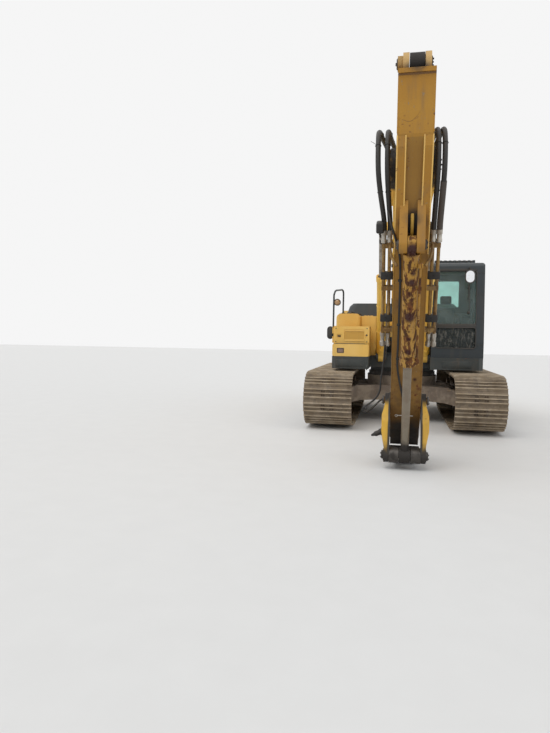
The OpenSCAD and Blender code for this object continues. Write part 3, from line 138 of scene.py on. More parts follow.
class Graph:
    """Node tree of one material, with one method that makes every node."""

    def __init__(self, tree: bpy.types.NodeTree) -> None:
        """Empties the tree and keeps it."""
        self.tree = tree
        tree.nodes.clear()

    def node(self, kind: str, settings: dict, values: dict, output: str | int = 0) -> Socket | None:
        """Adds a node.

        Args:
            kind: Type name of the node.
            settings: Properties set first.
            values: Number, colour or Socket for each input, by name or by place.
            output: Name or place of the output to return.

        Returns:
            The chosen output, ready for arithmetic, or None for a node without any.
        """
        made = self.tree.nodes.new(kind)
        for name, value in settings.items():
            setattr(made, name, value)
        for name, value in values.items():
            target = made.inputs[name]
            if isinstance(value, Socket):
                self.tree.links.new(value.socket, target)
            elif isinstance(value, tuple) and target.type == "RGBA":
                target.default_value = (*value, 1.0)
            else:
                target.default_value = value
        return Socket(self, made.outputs[output]) if made.outputs else None

    def place(self) -> Socket:
        """Object coordinates of the point."""
        return self.node("ShaderNodeTexCoord", {}, {}, "Object")

    def part(self, vector: Socket, axis: str) -> Socket:
        """One of the parts X, Y and Z of a vector."""
        return self.node("ShaderNodeSeparateXYZ", {}, {"Vector": vector}, axis)

    def upward(self) -> Socket:
        """How far the surface faces up, from -1 to 1."""
        return self.part(self.node("ShaderNodeTexCoord", {}, {}, "Normal"), "Z")

    def math(self, operation: str, *values: Number) -> Socket:
        """A Math node's result for one or two values."""
        return self.node("ShaderNodeMath", {"operation": operation}, dict(enumerate(values)))

    def noise(self, scale: float, detail: float = 3.0, stretch: Point = (1, 1, 1),
              rough: float = 0.55) -> Socket:
        """Noise from 0 to 1 over the object.

        Args:
            scale: Waves in a metre.
            detail: Number of finer layers.
            stretch: Factor on the scale along each axis.
            rough: Strength of the finer layers.

        Returns:
            The noise's value.
        """
        vector = self.place()
        if stretch != (1, 1, 1):
            vector = self.node("ShaderNodeMapping", {}, {"Vector": vector, "Scale": stretch})
        return self.node("ShaderNodeTexNoise", {}, {
            "Vector": vector, "Scale": scale, "Detail": detail, "Roughness": rough}, "Fac")

    def near(self, centre: Point, inner: float, outer: float) -> Socket:
        """1 within the inner distance of a place and 0 past the outer one.

        Args:
            centre: Middle of the place.
            inner: Distance up to which the mask is full.
            outer: Distance past which it is gone.

        Returns:
            The mask, from 0 to 1.
        """
        gap = self.node("ShaderNodeVectorMath", {"operation": "DISTANCE"},
                        {0: self.place(), 1: centre}, "Value")
        ragged = gap + (self.noise(7.0, 4.0) - 0.5) * (0.6 * outer)
        return ragged.step(outer, inner)

    def mix(self, factor: Number, first: "Socket | Colour", second: "Socket | Colour") -> Socket:
        """Colour that goes from the first at factor 0 to the second at 1."""
        return self.node("ShaderNodeMix", {"data_type": "RGBA"}, {0: factor, 6: first, 7: second}, 2)

    def bump(self, height: Socket, strength: float, distance: float) -> Socket:
        """Normal that a height in metres gives."""
        return self.node("ShaderNodeBump", {}, {
            "Height": height, "Strength": strength, "Distance": distance})

    def surface(self, values: dict) -> None:
        """Ends the tree in a Principled shader with these inputs."""
        self.end(self.node("ShaderNodeBsdfPrincipled", {}, values))

    def end(self, shader: Socket, kind: str = "ShaderNodeOutputMaterial") -> None:
        """Links a shader to the material's or the world's output."""
        self.node(kind, {}, {"Surface": shader})


# Finishes
@dataclass(frozen=True)
class Finish:
    """What every finish has: a name, and a method that fills the node tree."""

    name: str

    def fill(self, graph: Graph) -> None:
        """Adds this finish's nodes."""
        raise NotImplementedError

    def material(self) -> bpy.types.Material:
        """The finish's material, made once.

        Returns:
            The material.
        """
        known = bpy.data.materials.get(self.name)
        if known:
            return known
        made = bpy.data.materials.new(self.name)
        made.use_nodes = True
        self.fill(Graph(made.node_tree))
        return made


@dataclass(frozen=True)
class StainOrPaintedLight:
    """A greasy or rusty place, or a patch of painted shade or painted highlight: full inside the inner
    distance and gone past the outer.
    """

    centre: Point
    inner: float
    outer: float
    colour: Colour


@dataclass(frozen=True)
class Paint(Finish):
    """Sprayed paint that has faded, gathered dust and streaks, chipped and rusted."""

    base: Colour
    faded: Colour
    dust: Colour = (0.36, 0.27, 0.17)
    dust_top: float = 2.2
    dust_amount: float = 0.55
    streaks: float = 0.35
    rust: float = 0.3
    gloss: float = 0.42
    flaking: float = 0.0
    joints: tuple[float, ...] = ()
    stains_and_painted_light: tuple[StainOrPaintedLight, ...] = ()

    def fill(self, graph: Graph) -> None:
        """Layers fading, dust, streaks, chips, rust, greasy and rusty marks, and patches of painted shade
        and highlight over the base coat.

        Args:
            graph: Graph of the material.
        """
        height = graph.part(graph.place(), "Z")
        patches = graph.noise(0.9, 4.0)
        colour = graph.mix(patches.step(0.35, 0.7), self.base, self.faded)
        fine = graph.noise(14.0, 5.0)
        runs = graph.noise(7.0, 4.0, (1.0, 1.0, 0.09)).step(0.52, 0.74)
        colour = graph.mix(runs * self.streaks, colour, (0.16, 0.1, 0.05))
        low = height.step(self.dust_top, 0.0)
        film = ((low * 0.8 + graph.upward().step(0.3, 0.95) * 0.55)
                * (fine * 0.9 + 0.35) * self.dust_amount).clamped()
        colour = graph.mix(film, colour, self.dust)
        patch = graph.noise(1.7, 3.0).step(0.45, 0.66)
        spots = (graph.noise(26.0, 4.0).step(0.6, 0.68) * patch * self.rust * 2.4).clamped()
        colour = graph.mix(spots, colour, (0.13, 0.045, 0.018))
        scuffs = graph.noise(60.0, 2.0, (1.0, 1.0, 0.25)).step(0.68, 0.73) * (self.rust * 1.3)
        colour = graph.mix(scuffs.clamped(), colour, (0.22, 0.17, 0.11))
        wear = film + spots
        if self.flaking:
            sheets = (graph.noise(17.0, 7.0, (1.0, 1.0, 0.28), 0.68).step(0.49, 0.53)
                      * self.flaking).clamped()
            colour = graph.mix(sheets, colour, graph.mix(fine.step(0.4, 0.65), (0.035, 0.009, 0.005),
                                                         (0.13, 0.042, 0.014)))
            wear = wear + sheets
        # These masks lay marks of grease and rust, and also patches of painted shade and painted highlight.
        for stain_or_light in self.stains_and_painted_light:
            mask = graph.near(stain_or_light.centre, stain_or_light.inner, stain_or_light.outer)
            colour = graph.mix(mask, colour, stain_or_light.colour)
            wear = wear + mask * 0.3
        for level in self.joints:
            line = graph.math("ABSOLUTE", height - level).step(0.008, 0.004)
            colour = graph.mix(line, colour, (0.02, 0.018, 0.015))
        peel = graph.noise(170.0, 1.0) * 0.25 + fine * 0.35 - spots * 0.6
        graph.surface({
            "Base Color": colour, "Metallic": 0.0,
            "Roughness": (wear * 0.4 + fine * 0.12 + self.gloss).clamped(),
            "Normal": graph.bump(peel, 0.25, 0.003)})


@dataclass(frozen=True)
class CakedSteel(Finish):
    """Bare steel under dried mud, with worn high places and painted shade in the valleys of a track."""

    mud: Colour = (0.36, 0.275, 0.19)
    pale: Colour = (0.5, 0.41, 0.3)
    dark: Colour = (0.1, 0.075, 0.05)
    steel: Colour = (0.2, 0.17, 0.145)
    worn: float = 0.35
    lumps: float = 0.01
    # Strength of the painted shade in a track's valleys between grousers.
    valley: float = 0.0

    def fill(self, graph: Graph) -> None:
        """Mixes mud, pale crust, dark patches and worn steel by noise, and darkens a track's valleys as
        painted shade.

        Args:
            graph: Graph of the material.
        """
        crust = graph.noise(5.0, 6.0, rough=0.62)
        grit = graph.noise(48.0, 5.0, rough=0.6)
        colour = graph.mix(crust.step(0.42, 0.62), self.mud, self.pale)
        colour = graph.mix(graph.noise(2.3, 4.0).step(0.52, 0.7) * 0.65, colour, self.dark)
        bare = (graph.noise(11.0, 5.0).step(0.53, 0.6) * self.worn).clamped()
        colour = graph.mix(bare, colour, self.steel)
        colour = graph.mix(grit.step(0.58, 0.72) * 0.35, colour, self.dark)
        # Painted shade: nearer the line between the wheel centres, as in the valleys between grousers, the
        # colour darkens.
        if self.valley:
            low = 1.0 - self.height_on_track(graph).step(0.44, 0.474)
            colour = graph.mix((low * self.valley).clamped(), colour, (0.075, 0.052, 0.034))
        graph.surface({
            "Base Color": colour, "Metallic": bare * 0.35,
            "Roughness": 0.93 - bare * 0.35,
            "Normal": graph.bump(crust * 0.7 + grit * 0.3, 0.7, self.lumps)})

    @staticmethod
    def height_on_track(graph: Graph) -> Socket:
        """Distance of the point from the line between a track's two wheel centres.

        Args:
            graph: Graph of the material.

        Returns:
            The distance.
        """
        place = graph.place()
        ahead = graph.math("ABSOLUTE", graph.part(place, "Y") - SWING_Y)
        past = graph.math("MAXIMUM", ahead - TRACK_HALF_BASE, 0.0)
        above = graph.part(place, "Z") - TRACK_WHEEL_Z
        return graph.math("SQRT", past * past + above * above)


@dataclass(frozen=True)
class BareMetal(Finish):
    """Machined, chromed or cast metal with dust or grease on it."""

    tone: Colour
    soil: Colour
    soiled: float = 0.4
    shine: float = 0.35
    metal: float = 1.0
    brushed: Point = (1.0, 1.0, 1.0)
    stains_and_painted_light: tuple[StainOrPaintedLight, ...] = ()

    def fill(self, graph: Graph) -> None:
        """Mixes clean metal with its soil.

        Args:
            graph: Graph of the material.
        """
        mask = (graph.noise(9.0, 5.0).step(0.42, 0.66) * self.soiled).clamped()
        lines = graph.noise(90.0, 3.0, self.brushed)
        colour = graph.mix(mask, self.tone, self.soil)
        for stain_or_light in self.stains_and_painted_light:
            there = graph.near(stain_or_light.centre, stain_or_light.inner, stain_or_light.outer)
            colour = graph.mix(there, colour, stain_or_light.colour)
            mask = (mask + there * 0.8).clamped()
        graph.surface({
            "Base Color": colour,
            "Metallic": (1.0 - mask) * self.metal,
            "Roughness": (mask * 0.45 + lines * 0.15 + self.shine).clamped(),
            "Normal": graph.bump(lines, 0.18, 0.002)})


@dataclass(frozen=True)
class Plain(Finish):
    """Moulded plastic, rubber or cloth: one colour with dust, grain and soft patches."""

    tone: Colour
    dust: Colour = (0.3, 0.24, 0.17)
    dusty: float = 0.35
    rough: float = 0.6
    grain: float = 160.0
    depth: float = 0.001
    coat: float = 0.0

    def fill(self, graph: Graph) -> None:
        """Mixes the tone with dust on what faces up.

        Args:
            graph: Graph of the material.
        """
        patch = graph.noise(4.0, 4.0)
        grain = graph.noise(self.grain, 3.0)
        film = ((graph.upward().step(-0.2, 0.9) * 0.7 + 0.3) * patch * self.dusty * 1.5).clamped()
        graph.surface({
            "Base Color": graph.mix(film, self.tone, self.dust), "Metallic": 0.0,
            "Roughness": (film * 0.3 + grain * 0.12 + self.rough).clamped(),
            "Coat Weight": self.coat, "Normal": graph.bump(grain, 0.3, self.depth)})


@dataclass(frozen=True)
class Pane(Finish):
    """Tinted glass, clear enough to see through, with a dusty film."""

    tint: Colour = (0.82, 0.965, 0.935)
    haze: float = 0.12
    dusty: float = 0.09
    # Height below which the glass gets its dark film of painted shade and dirt.
    shaded_soiled_below: float = 0.0

    def fill(self, graph: Graph) -> None:
        """Mixes clear glass with a faint reflecting film, and low down a near-black film of painted shade
        with dirty runs.

        Args:
            graph: Graph of the material.
        """
        film = graph.noise(3.0, 4.0).step(0.35, 0.8) * self.dusty + self.haze
        colour: Socket | Colour = (0.36, 0.4, 0.4)
        rough: Number = 0.06
        # Below this height a near-black film stands for the shaded cab inside, with paler dirty runs:
        # painted shade and dirt.
        if self.shaded_soiled_below:
            low = graph.part(graph.place(), "Z").step(self.shaded_soiled_below + 0.02, self.shaded_soiled_below - 0.02)
            runs = graph.noise(30.0, 6.0, (1.0, 1.0, 0.35), 0.7).step(0.5, 0.62)
            film = (film + low * (0.42 + runs * 0.4)).clamped()
            shade_and_grime = graph.mix(runs, (0.02, 0.024, 0.024), (0.085, 0.082, 0.07))
            colour = graph.mix(low, colour, shade_and_grime)
            rough = low * 0.5 + 0.06
        sheen = graph.node("ShaderNodeBsdfPrincipled", {}, {
            "Base Color": colour, "Roughness": rough, "Specular IOR Level": 0.5})
        clear = graph.node("ShaderNodeBsdfTransparent", {}, {"Color": self.tint})
        graph.end(graph.node("ShaderNodeMixShader", {}, {"Fac": film, 1: clear, 2: sheen}))


@dataclass(frozen=True)
class Lens(Finish):
    """Lamp lens or mirror face: a glossy coloured surface with a ribbed relief."""

    tone: Colour
    ribs: float = 120.0
    rough: float = 0.12
    metal: float = 0.0

    def fill(self, graph: Graph) -> None:
        """Adds fine ribs and a clear coat.

        Args:
            graph: Graph of the material.
        """
        ribs = graph.noise(self.ribs, 1.0, (1.0, 0.1, 0.1))
        film = graph.noise(20.0, 4.0).step(0.5, 0.8) * 0.3
        graph.surface({
            "Base Color": graph.mix(film, self.tone, (0.4, 0.34, 0.26)),
            "Metallic": self.metal, "Roughness": film * 0.5 + self.rough,
            "Coat Weight": 0.6, "Normal": graph.bump(ribs, 0.2, 0.001)})


# Near-black for grease, also used as painted shade at the boom's nose ears and under the arm's nose.
BLACK_GREASE_AND_SHADE: Colour = (0.022, 0.018, 0.015)
RED_RUST: Colour = (0.1, 0.028, 0.012)
DEEP_RUST: Colour = (0.04, 0.009, 0.005)

YELLOW = Paint("aged_yellow_paint", (0.8, 0.46, 0.055), (0.86, 0.56, 0.12), dust_top=1.6,
               dust_amount=0.35, streaks=0.18, rust=0.14)
BODY_YELLOW = Paint("body_yellow_paint", (0.75, 0.44, 0.08), (0.82, 0.54, 0.16), dust_top=1.5,
                    dust_amount=0.4, streaks=0.12, rust=0.06)
WEIGHT_PAINT = replace(BODY_YELLOW, name="weight_paint", joints=(1.72, 2.13))
# The arm's dark brown base and its dark dust, strongest low down, are dirt and painted shade: the arm is the
# same yellow paint as the boom.
ARM_SHADED_PAINT = Paint(
    "arm_shaded_paint", (0.365, 0.168, 0.01), (0.425, 0.215, 0.021), dust=(0.13, 0.072, 0.026),
    dust_top=3.4, dust_amount=1.35, streaks=0.45, rust=0.6, stains_and_painted_light=(
        # Black round the arm's nose: grease and painted shade beneath the nose.
        StainOrPaintedLight((0, -3.0, 0.42), 0.2, 0.54, BLACK_GREASE_AND_SHADE),
        StainOrPaintedLight((0.1, -3.653, 1.14), 0.012, 0.042, DEEP_RUST),
        StainOrPaintedLight((0.15, -3.605, 1.02), 0.008, 0.045, RED_RUST),
        StainOrPaintedLight((0.14, -3.52, 0.84), 0.01, 0.055, RED_RUST),
        StainOrPaintedLight((-0.15, -3.56, 0.9), 0.005, 0.04, RED_RUST),
        StainOrPaintedLight((0, -4.47, 2.9), 0.09, 0.19, BLACK_GREASE_AND_SHADE),
        StainOrPaintedLight((0, -4.86, 4.45), 0.08, 0.2, BLACK_GREASE_AND_SHADE),
        # Pale patches on the arm's top: painted highlight where the top faces up to the light.
        StainOrPaintedLight((-0.13, -4.9, 4.5), 0.05, 0.13, (0.56, 0.36, 0.14)),
        StainOrPaintedLight((0.13, -4.9, 4.5), 0.05, 0.13, (0.56, 0.36, 0.14))))
# Darker still for the recess between the arm's ribs: painted shade.
RECESS_SHADE_PAINT = replace(ARM_SHADED_PAINT, name="arm_recess_shade_paint", base=(0.27, 0.13, 0.01),
                       faded=(0.34, 0.175, 0.018))
# Black round the boom's nose, by the arm's pivot: painted shade on the nose ears.
BOOM_PAINT_NOSE_SHADE = replace(YELLOW, name="boom_paint_nose_shade", stains_and_painted_light=(
    StainOrPaintedLight((0, -4.331, 3.559), 0.3, 0.42, BLACK_GREASE_AND_SHADE),))
# The bucket ram's dark base is partly painted shade, like the arm behind it; the flaking, streaks and rust
# are its wear.
RAM_RUST_AND_SHADE = Paint("rusty_shaded_ram_paint", (0.37, 0.18, 0.012), (0.44, 0.235, 0.028), dust_top=3.0,
                 dust_amount=0.35, streaks=0.9, rust=0.9, gloss=0.5, flaking=0.92, stains_and_painted_light=tuple(
                     StainOrPaintedLight((x, -4.634 + 0.365 * along, 2.627 - 0.931 * along), inner, outer, DEEP_RUST)
                     for along, x, inner, outer in (
                         (0.04, 0.0, 0.045, 0.105), (0.3, 0.03, 0.0, 0.045), (0.4, 0.015, 0.02, 0.06),
                         (0.52, -0.01, 0.0, 0.04), (0.6, 0.0, 0.0, 0.03), (0.7, 0.0, 0.0, 0.03),
                         (0.8, 0.0, 0.035, 0.095), (0.9, 0.0, 0.0, 0.028), (0.97, 0.0, 0.0, 0.026),
                         (1.06, 0.0, 0.01, 0.045), (1.22, 0.005, 0.02, 0.06))))
LINK_PAINT = Paint("side_link_paint", (0.74, 0.43, 0.015), (0.68, 0.38, 0.02), dust_top=1.2,
                   dust_amount=0.35, streaks=0.2, rust=0.35, stains_and_painted_light=tuple(
                       StainOrPaintedLight((side * 0.25, y, z), inner, outer, BLACK_GREASE_AND_SHADE)
                       for y, z, inner, outer in ((-3.59, 0.16, 0.1, 0.24), (-3.32, 0.88, 0.07, 0.17))
                       for side in SIDES))
DARK = Paint("dark_cab_paint", (0.017, 0.024, 0.028), (0.026, 0.034, 0.038),
             dust=(0.12, 0.11, 0.09), dust_top=1.5, dust_amount=0.2, streaks=0.1, rust=0.05,
             gloss=0.33)
HOOD_PAINT = Paint("dark_hood_paint", (0.04, 0.047, 0.05), (0.055, 0.062, 0.065),
                   dust=(0.2, 0.18, 0.15), dust_top=1.0, dust_amount=0.35, streaks=0.1, rust=0.05)
DECK_PAINT = Paint("dark_deck_paint", (0.026, 0.033, 0.032), (0.042, 0.048, 0.046),
                   dust=(0.16, 0.135, 0.1), dust_top=1.6, dust_amount=0.5, streaks=0.25, rust=0.3)
CARBODY = CakedSteel("muddy_carbody", mud=(0.235, 0.185, 0.145), pale=(0.36, 0.29, 0.22),
                     dark=(0.07, 0.055, 0.045), worn=0.2, lumps=0.006)
# Its valley value paints shade into the valleys between the grousers.
SHOES = CakedSteel("muddy_track_steel", mud=(0.34, 0.265, 0.18), pale=(0.46, 0.375, 0.27),
                   dark=(0.13, 0.095, 0.062), worn=0.35, lumps=0.006, valley=0.55)
RUNNING_GEAR = CakedSteel("muddy_running_gear", mud=(0.25, 0.19, 0.13), pale=(0.36, 0.28, 0.19),
                          worn=0.6, lumps=0.008)
GRIMY = CakedSteel("grimy_bolt_steel", mud=(0.075, 0.055, 0.04), pale=(0.14, 0.1, 0.07),
                   dark=(0.03, 0.022, 0.018), worn=0.3, lumps=0.003)
MUD = CakedSteel("dried_mud", mud=(0.3, 0.22, 0.15), pale=(0.42, 0.33, 0.23), worn=0.0, lumps=0.012)
SOOT = Plain("sooty_exhaust_steel", (0.035, 0.028, 0.024), (0.16, 0.08, 0.04), 0.5, 0.7, 90.0)
ROD = BareMetal("dull_rod_chrome", (0.34, 0.31, 0.27), (0.2, 0.155, 0.11), 0.85, 0.3, 0.75)
ARM_ROD = replace(ROD, name="arm_rod_chrome", stains_and_painted_light=(StainOrPaintedLight((0, -4.784, 4.463), 0.15, 0.22, BLACK_GREASE_AND_SHADE),))
BUCKET_ROD = replace(ROD, name="bucket_rod_chrome", tone=(0.25, 0.215, 0.165), stains_and_painted_light=(
    StainOrPaintedLight((0, -3.58, 0.183), 0.16, 0.26, BLACK_GREASE_AND_SHADE),))
BOOM_ROD = replace(ROD, name="boom_rod_chrome", stains_and_painted_light=(
    StainOrPaintedLight((0, -0.905, 3.491), 0.45, 0.5, BLACK_GREASE_AND_SHADE),))
BEARING = BareMetal("dark_bearing_steel", (0.12, 0.11, 0.1), (0.05, 0.04, 0.03), 0.8, 0.45)
GREASY = BareMetal("greasy_linkage_steel", (0.075, 0.066, 0.058), BLACK_GREASE_AND_SHADE, 0.9, 0.36, 0.55)
IRON = BareMetal("engine_iron", (0.09, 0.09, 0.09), (0.05, 0.04, 0.03), 0.7, 0.5, 0.6)
PIPE_STEEL = BareMetal("zinc_fitting_steel", (0.46, 0.43, 0.38), (0.2, 0.15, 0.1), 0.6, 0.4)
RUSTY_PIPE = BareMetal("rusty_pipe_steel", (0.16, 0.11, 0.075), (0.1, 0.045, 0.022), 0.8, 0.5, 0.5)
PIPE_PAINT = Paint("worn_pipe_paint", (0.3, 0.17, 0.035), (0.36, 0.22, 0.06), streaks=0.7, rust=0.9,
                   dust=(0.15, 0.1, 0.055), dust_top=3.2, dust_amount=0.8, flaking=0.5)
SCRATCH = Plain("bare_scratch", (0.16, 0.075, 0.02), dusty=0.2, rough=0.7, grain=400.0)
WORN_EDGE = Paint("worn_edge_paint", (0.8, 0.5, 0.13), (0.62, 0.4, 0.14), streaks=0.1, rust=0.5)
BLACK_EDGE = Plain("greasy_black_edge", (0.015, 0.013, 0.011), dusty=0.15, rough=0.4)
SLEEVE = Plain("worn_hose_sleeve", (0.05, 0.042, 0.038), dusty=0.3, rough=0.7, grain=300.0)
WHITE_TIE = Plain("white_cord", (0.72, 0.71, 0.68), dusty=0.2, rough=0.8, grain=500.0)
RUBBER = Plain("black_hose_rubber", (0.012, 0.012, 0.012), (0.1, 0.078, 0.058), 0.35, 0.5, 220.0)
PLASTIC = Plain("black_moulding", (0.02, 0.021, 0.022), dusty=0.25, rough=0.5)
CLOTH = Plain("dark_seat_cloth", (0.035, 0.038, 0.042), dusty=0.2, rough=0.85, grain=420.0, depth=0.0015)
LINING = Plain("cab_lining_plastic", (0.1, 0.105, 0.105), (0.22, 0.19, 0.15), 0.4, 0.75, 240.0)
GLASS = Pane("cab_window_glass", shaded_soiled_below=1.93)
# Darker paint for the recessed panel of the tool box's door: painted shade.
PANEL_SHADE = Paint("recess_shade_paint", (0.56, 0.3, 0.045), (0.62, 0.36, 0.07), dust_top=1.5,
                    dust_amount=0.45, streaks=0.15, rust=0.1)
AMBER = Lens("amber_lens", (0.46, 0.27, 0.12))
STEP_LENS = Lens("dusty_step_lens", (0.24, 0.15, 0.11), ribs=90.0, rough=0.3)
RED_LENS = Lens("red_lamp_lens", (0.36, 0.02, 0.015))
MIRROR = Lens("mirror_face", (0.86, 0.88, 0.9), ribs=5.0, rough=0.05, metal=0.9)

NODE_FINISHES: tuple[tuple[Finish, str], ...] = (
    (CARBODY, "carbody track_frame_left track_frame_right"),
    (SHOES, "track_left track_right"),
    (RUNNING_GEAR, "rollers_left rollers_right idlers sprockets"),
    (BEARING, "swing_bearing exhaust_pipe"),
    (DECK_PAINT, "deck towers"),
    (WEIGHT_PAINT, "counterweight"),
    (BODY_YELLOW, "engine_house cooler_door pump_door tanks tool_box tool_box_door step_box"),
    (IRON, "engine_block"),
    (HOOD_PAINT, "engine_hood"),
    (DARK, "cab_shell cab_door handrails"),
    (GLASS, "cab_glass cab_door_glass"),
    (CLOTH, "cab_seat"),
    (PLASTIC, "cab_console mirrors"),
    (BOOM_PAINT_NOSE_SHADE, "boom"),
    (YELLOW, "boom_ram_barrels arm_ram_barrel boom_pipes"),
    (BOOM_ROD, "boom_ram_rods"),
    (ARM_ROD, "arm_ram_rod"),
    (ARM_SHADED_PAINT, "arm"),
    (RAM_RUST_AND_SHADE, "bucket_ram_barrel"),
    (BUCKET_ROD, "bucket_ram_rod"),
    (LINK_PAINT, "side_links"),
    (GREASY, "cross_link"),
    (PIPE_PAINT, "arm_pipes"),
    (RUBBER, "nose_hoses"),
)


def dress_nodes() -> None:
    """Gives every CAD node its finish."""
    for finish, names in NODE_FINISHES:
        for name in names.split():
            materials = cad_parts[name].data.materials
            materials.clear()
            materials.append(finish.material())


# Mesh parts
def rounded(shape: Mesh, width: float, segments: int = 2, least: float = 0.6) -> Mesh:
    """Bevels the edges that turn by more than the least angle.

    Args:
        shape: Mesh to work on.
        width: Width of the bevel, or 0 for none.
        segments: Number of faces across it.
        least: Smallest turn of an edge that is bevelled, in radians.

    Returns:
        The same mesh.
    """
    if width > 0:
        edges = [e for e in shape.edges if len(e.link_faces) == 2 and e.calc_face_angle(0.0) > least]
        bmesh.ops.bevel(shape, geom=edges, offset=width, offset_type="OFFSET", segments=segments,
                        profile=0.5, affect="EDGES", material=-1, clamp_overlap=True)
    return shape


def box_part(size: Point, bevel: float = 0.004, segments: int = 2) -> Mesh:
    """Box round the origin with rounded edges.

    Args:
        size: Its width, depth and height.
        bevel: Width of the bevels.
        segments: Number of faces across a bevel.

    Returns:
        The mesh.
    """
    shape = bmesh.new()
    bmesh.ops.create_cube(shape, size=1.0, matrix=Matrix.Diagonal((*size, 1.0)))
    return rounded(shape, bevel, segments)


def rod_part(radius: float, length: float, far: float | None = None, sides: int = 20,
             bevel: float = 0.0) -> Mesh:
    """Round bar or cone up from the origin, with the far radius at its top.

    Args:
        radius: Radius at the start.
        length: Length.
        far: Radius at the far end, where it differs.
        sides: Number of sides.
        bevel: Width of the bevels.

    Returns:
        The mesh.
    """
    shape = bmesh.new()
    bmesh.ops.create_cone(shape, cap_ends=True, segments=sides, radius1=radius,
                          radius2=radius if far is None else far, depth=length,
                          matrix=move_to((0, 0, length / 2)))
    return rounded(shape, bevel)


def sealed(shape: Mesh) -> Mesh:
    """Merges doubles and turns the faces outward.

    Args:
        shape: Mesh to work on.

    Returns:
        The same mesh.
    """
    bmesh.ops.remove_doubles(shape, verts=shape.verts, dist=1e-6)
    bmesh.ops.recalc_face_normals(shape, faces=shape.faces)
    return shape


def spun_part(profile: Sequence[Pair], steps: int = 24, closed: bool = False) -> Mesh:
    """Round part spun about Z.

    Args:
        profile: (radius, height) pairs from one end of the section to the other.
        steps: Number of faces round the part.
        closed: True where the section is a ring, such as a tyre's or a torus's.

    Returns:
        The part as a mesh.
    """
    shape = bmesh.new()
    verts = [shape.verts.new((radius, 0.0, height)) for radius, height in profile]
    ends = verts[1:] + verts[:1] if closed else verts[1:]
    edges = [shape.edges.new(pair) for pair in zip(verts, ends)]
    bmesh.ops.spin(shape, geom=verts + edges, cent=(0, 0, 0), axis=(0, 0, 1), dvec=(0, 0, 0),
                   angle=FULL_TURN, steps=steps, use_merge=True, use_normal_flip=False,
                   use_duplicate=False)
    return sealed(shape)


def disc_part(radius: float, edge: float, heights: Point, steps: int) -> Mesh:
    """Round cap: its flat top, its shoulder and its foot at three heights, with a sloped edge."""
    top, shoulder, foot = heights
    return spun_part([(0, top), (radius - edge, top), (radius, shoulder), (radius, foot)], steps)


def circle(count: int, radius: float, phase: float = 0.0) -> list[Pair]:
    """Evenly spaced offsets round a circle, as (cosine, sine) pairs times the radius."""
    turns = [FULL_TURN * (k + phase) / count for k in range(count)]
    return [(radius * math.cos(a), radius * math.sin(a)) for a in turns]


def ring_part(radius: float, thickness: float, steps: int = 24, sides: int = 10) -> Mesh:
    """Torus round Z from a circle of the thickness spun at the radius."""
    return spun_part([(radius + out, up) for out, up in circle(sides, thickness / 2)], steps, True)


def plate_part(outline: Sequence[Pair], thickness: float, bevel: float = 0.0, segments: int = 1) -> Mesh:
    """Flat plate from an outline in X and Y, with its thickness up Z.

    Args:
        outline: Corners in order.
        thickness: Thickness along Z.
        bevel: Width of the bevels.
        segments: Number of faces across a bevel.

    Returns:
        The mesh.
    """
    shape = bmesh.new()
    face = shape.faces.new([shape.verts.new((x, y, 0.0)) for x, y in outline])
    grown = bmesh.ops.extrude_face_region(shape, geom=[face])["geom"]
    bmesh.ops.translate(shape, verts=[v for v in grown if isinstance(v, bmesh.types.BMVert)],
                        vec=(0, 0, thickness))
    bmesh.ops.recalc_face_normals(shape, faces=shape.faces)
    return rounded(shape, bevel, segments)


def bolt_part(size: float) -> Mesh:
    """Hexagon head of this width across, on its washer.

    Args:
        size: Width across the flats.

    Returns:
        The mesh.
    """
    shape = rod_part(0.8 * size, 0.12 * size, sides=10)
    bmesh.ops.create_cone(shape, cap_ends=True, segments=6, radius1=0.56 * size,
                          radius2=0.5 * size, depth=0.55 * size,
                          matrix=move_to((0, 0, 0.39 * size)))
    return shape


def clod_part(radius: float, seed: int) -> Mesh:
    """Clod of dried mud: a ball pushed about by a fixed pattern of turns.

    Args:
        radius: Rough radius.
        seed: Number that sets its bumps.

    Returns:
        The mesh.
    """
    shape = bmesh.new()
    bmesh.ops.create_icosphere(shape, subdivisions=3, radius=radius)
    for vert in shape.verts:
        way = vert.co.normalized()
        push = (math.sin(9 * way.x + seed) + math.sin(11 * way.y + 2 * seed)
                + math.sin(7 * way.z + 3 * seed)) * 0.09
        vert.co *= 1.0 + push
        vert.co.z *= 0.55
    bmesh.ops.smooth_vert(shape, verts=shape.verts, factor=0.3, use_axis_x=True,
                          use_axis_y=True, use_axis_z=True)
    return shape


def bent(points: Iterable[Sequence[float]], radius: float, steps: int = 4) -> list[Vector]:
    """Route with straight runs whose corners are rounded.

    Args:
        points: Corners of the route.
        radius: Distance from a corner at which its curve starts.
        steps: Number of stretches in each curve.

    Returns:
        The points of the rounded route.
    """
    route = [Vector(point) for point in points]
    out = [route[0]]
    for before, corner, after in zip(route, route[1:], route[2:]):
        reach = min(radius, (corner - before).length / 2, (after - corner).length / 2)
        start = corner + (before - corner).normalized() * reach
        end = corner + (after - corner).normalized() * reach
        for k in range(steps + 1):
            share = k / steps
            out.append(start.lerp(corner, share).lerp(corner.lerp(end, share), share))
    return out + [route[-1]]


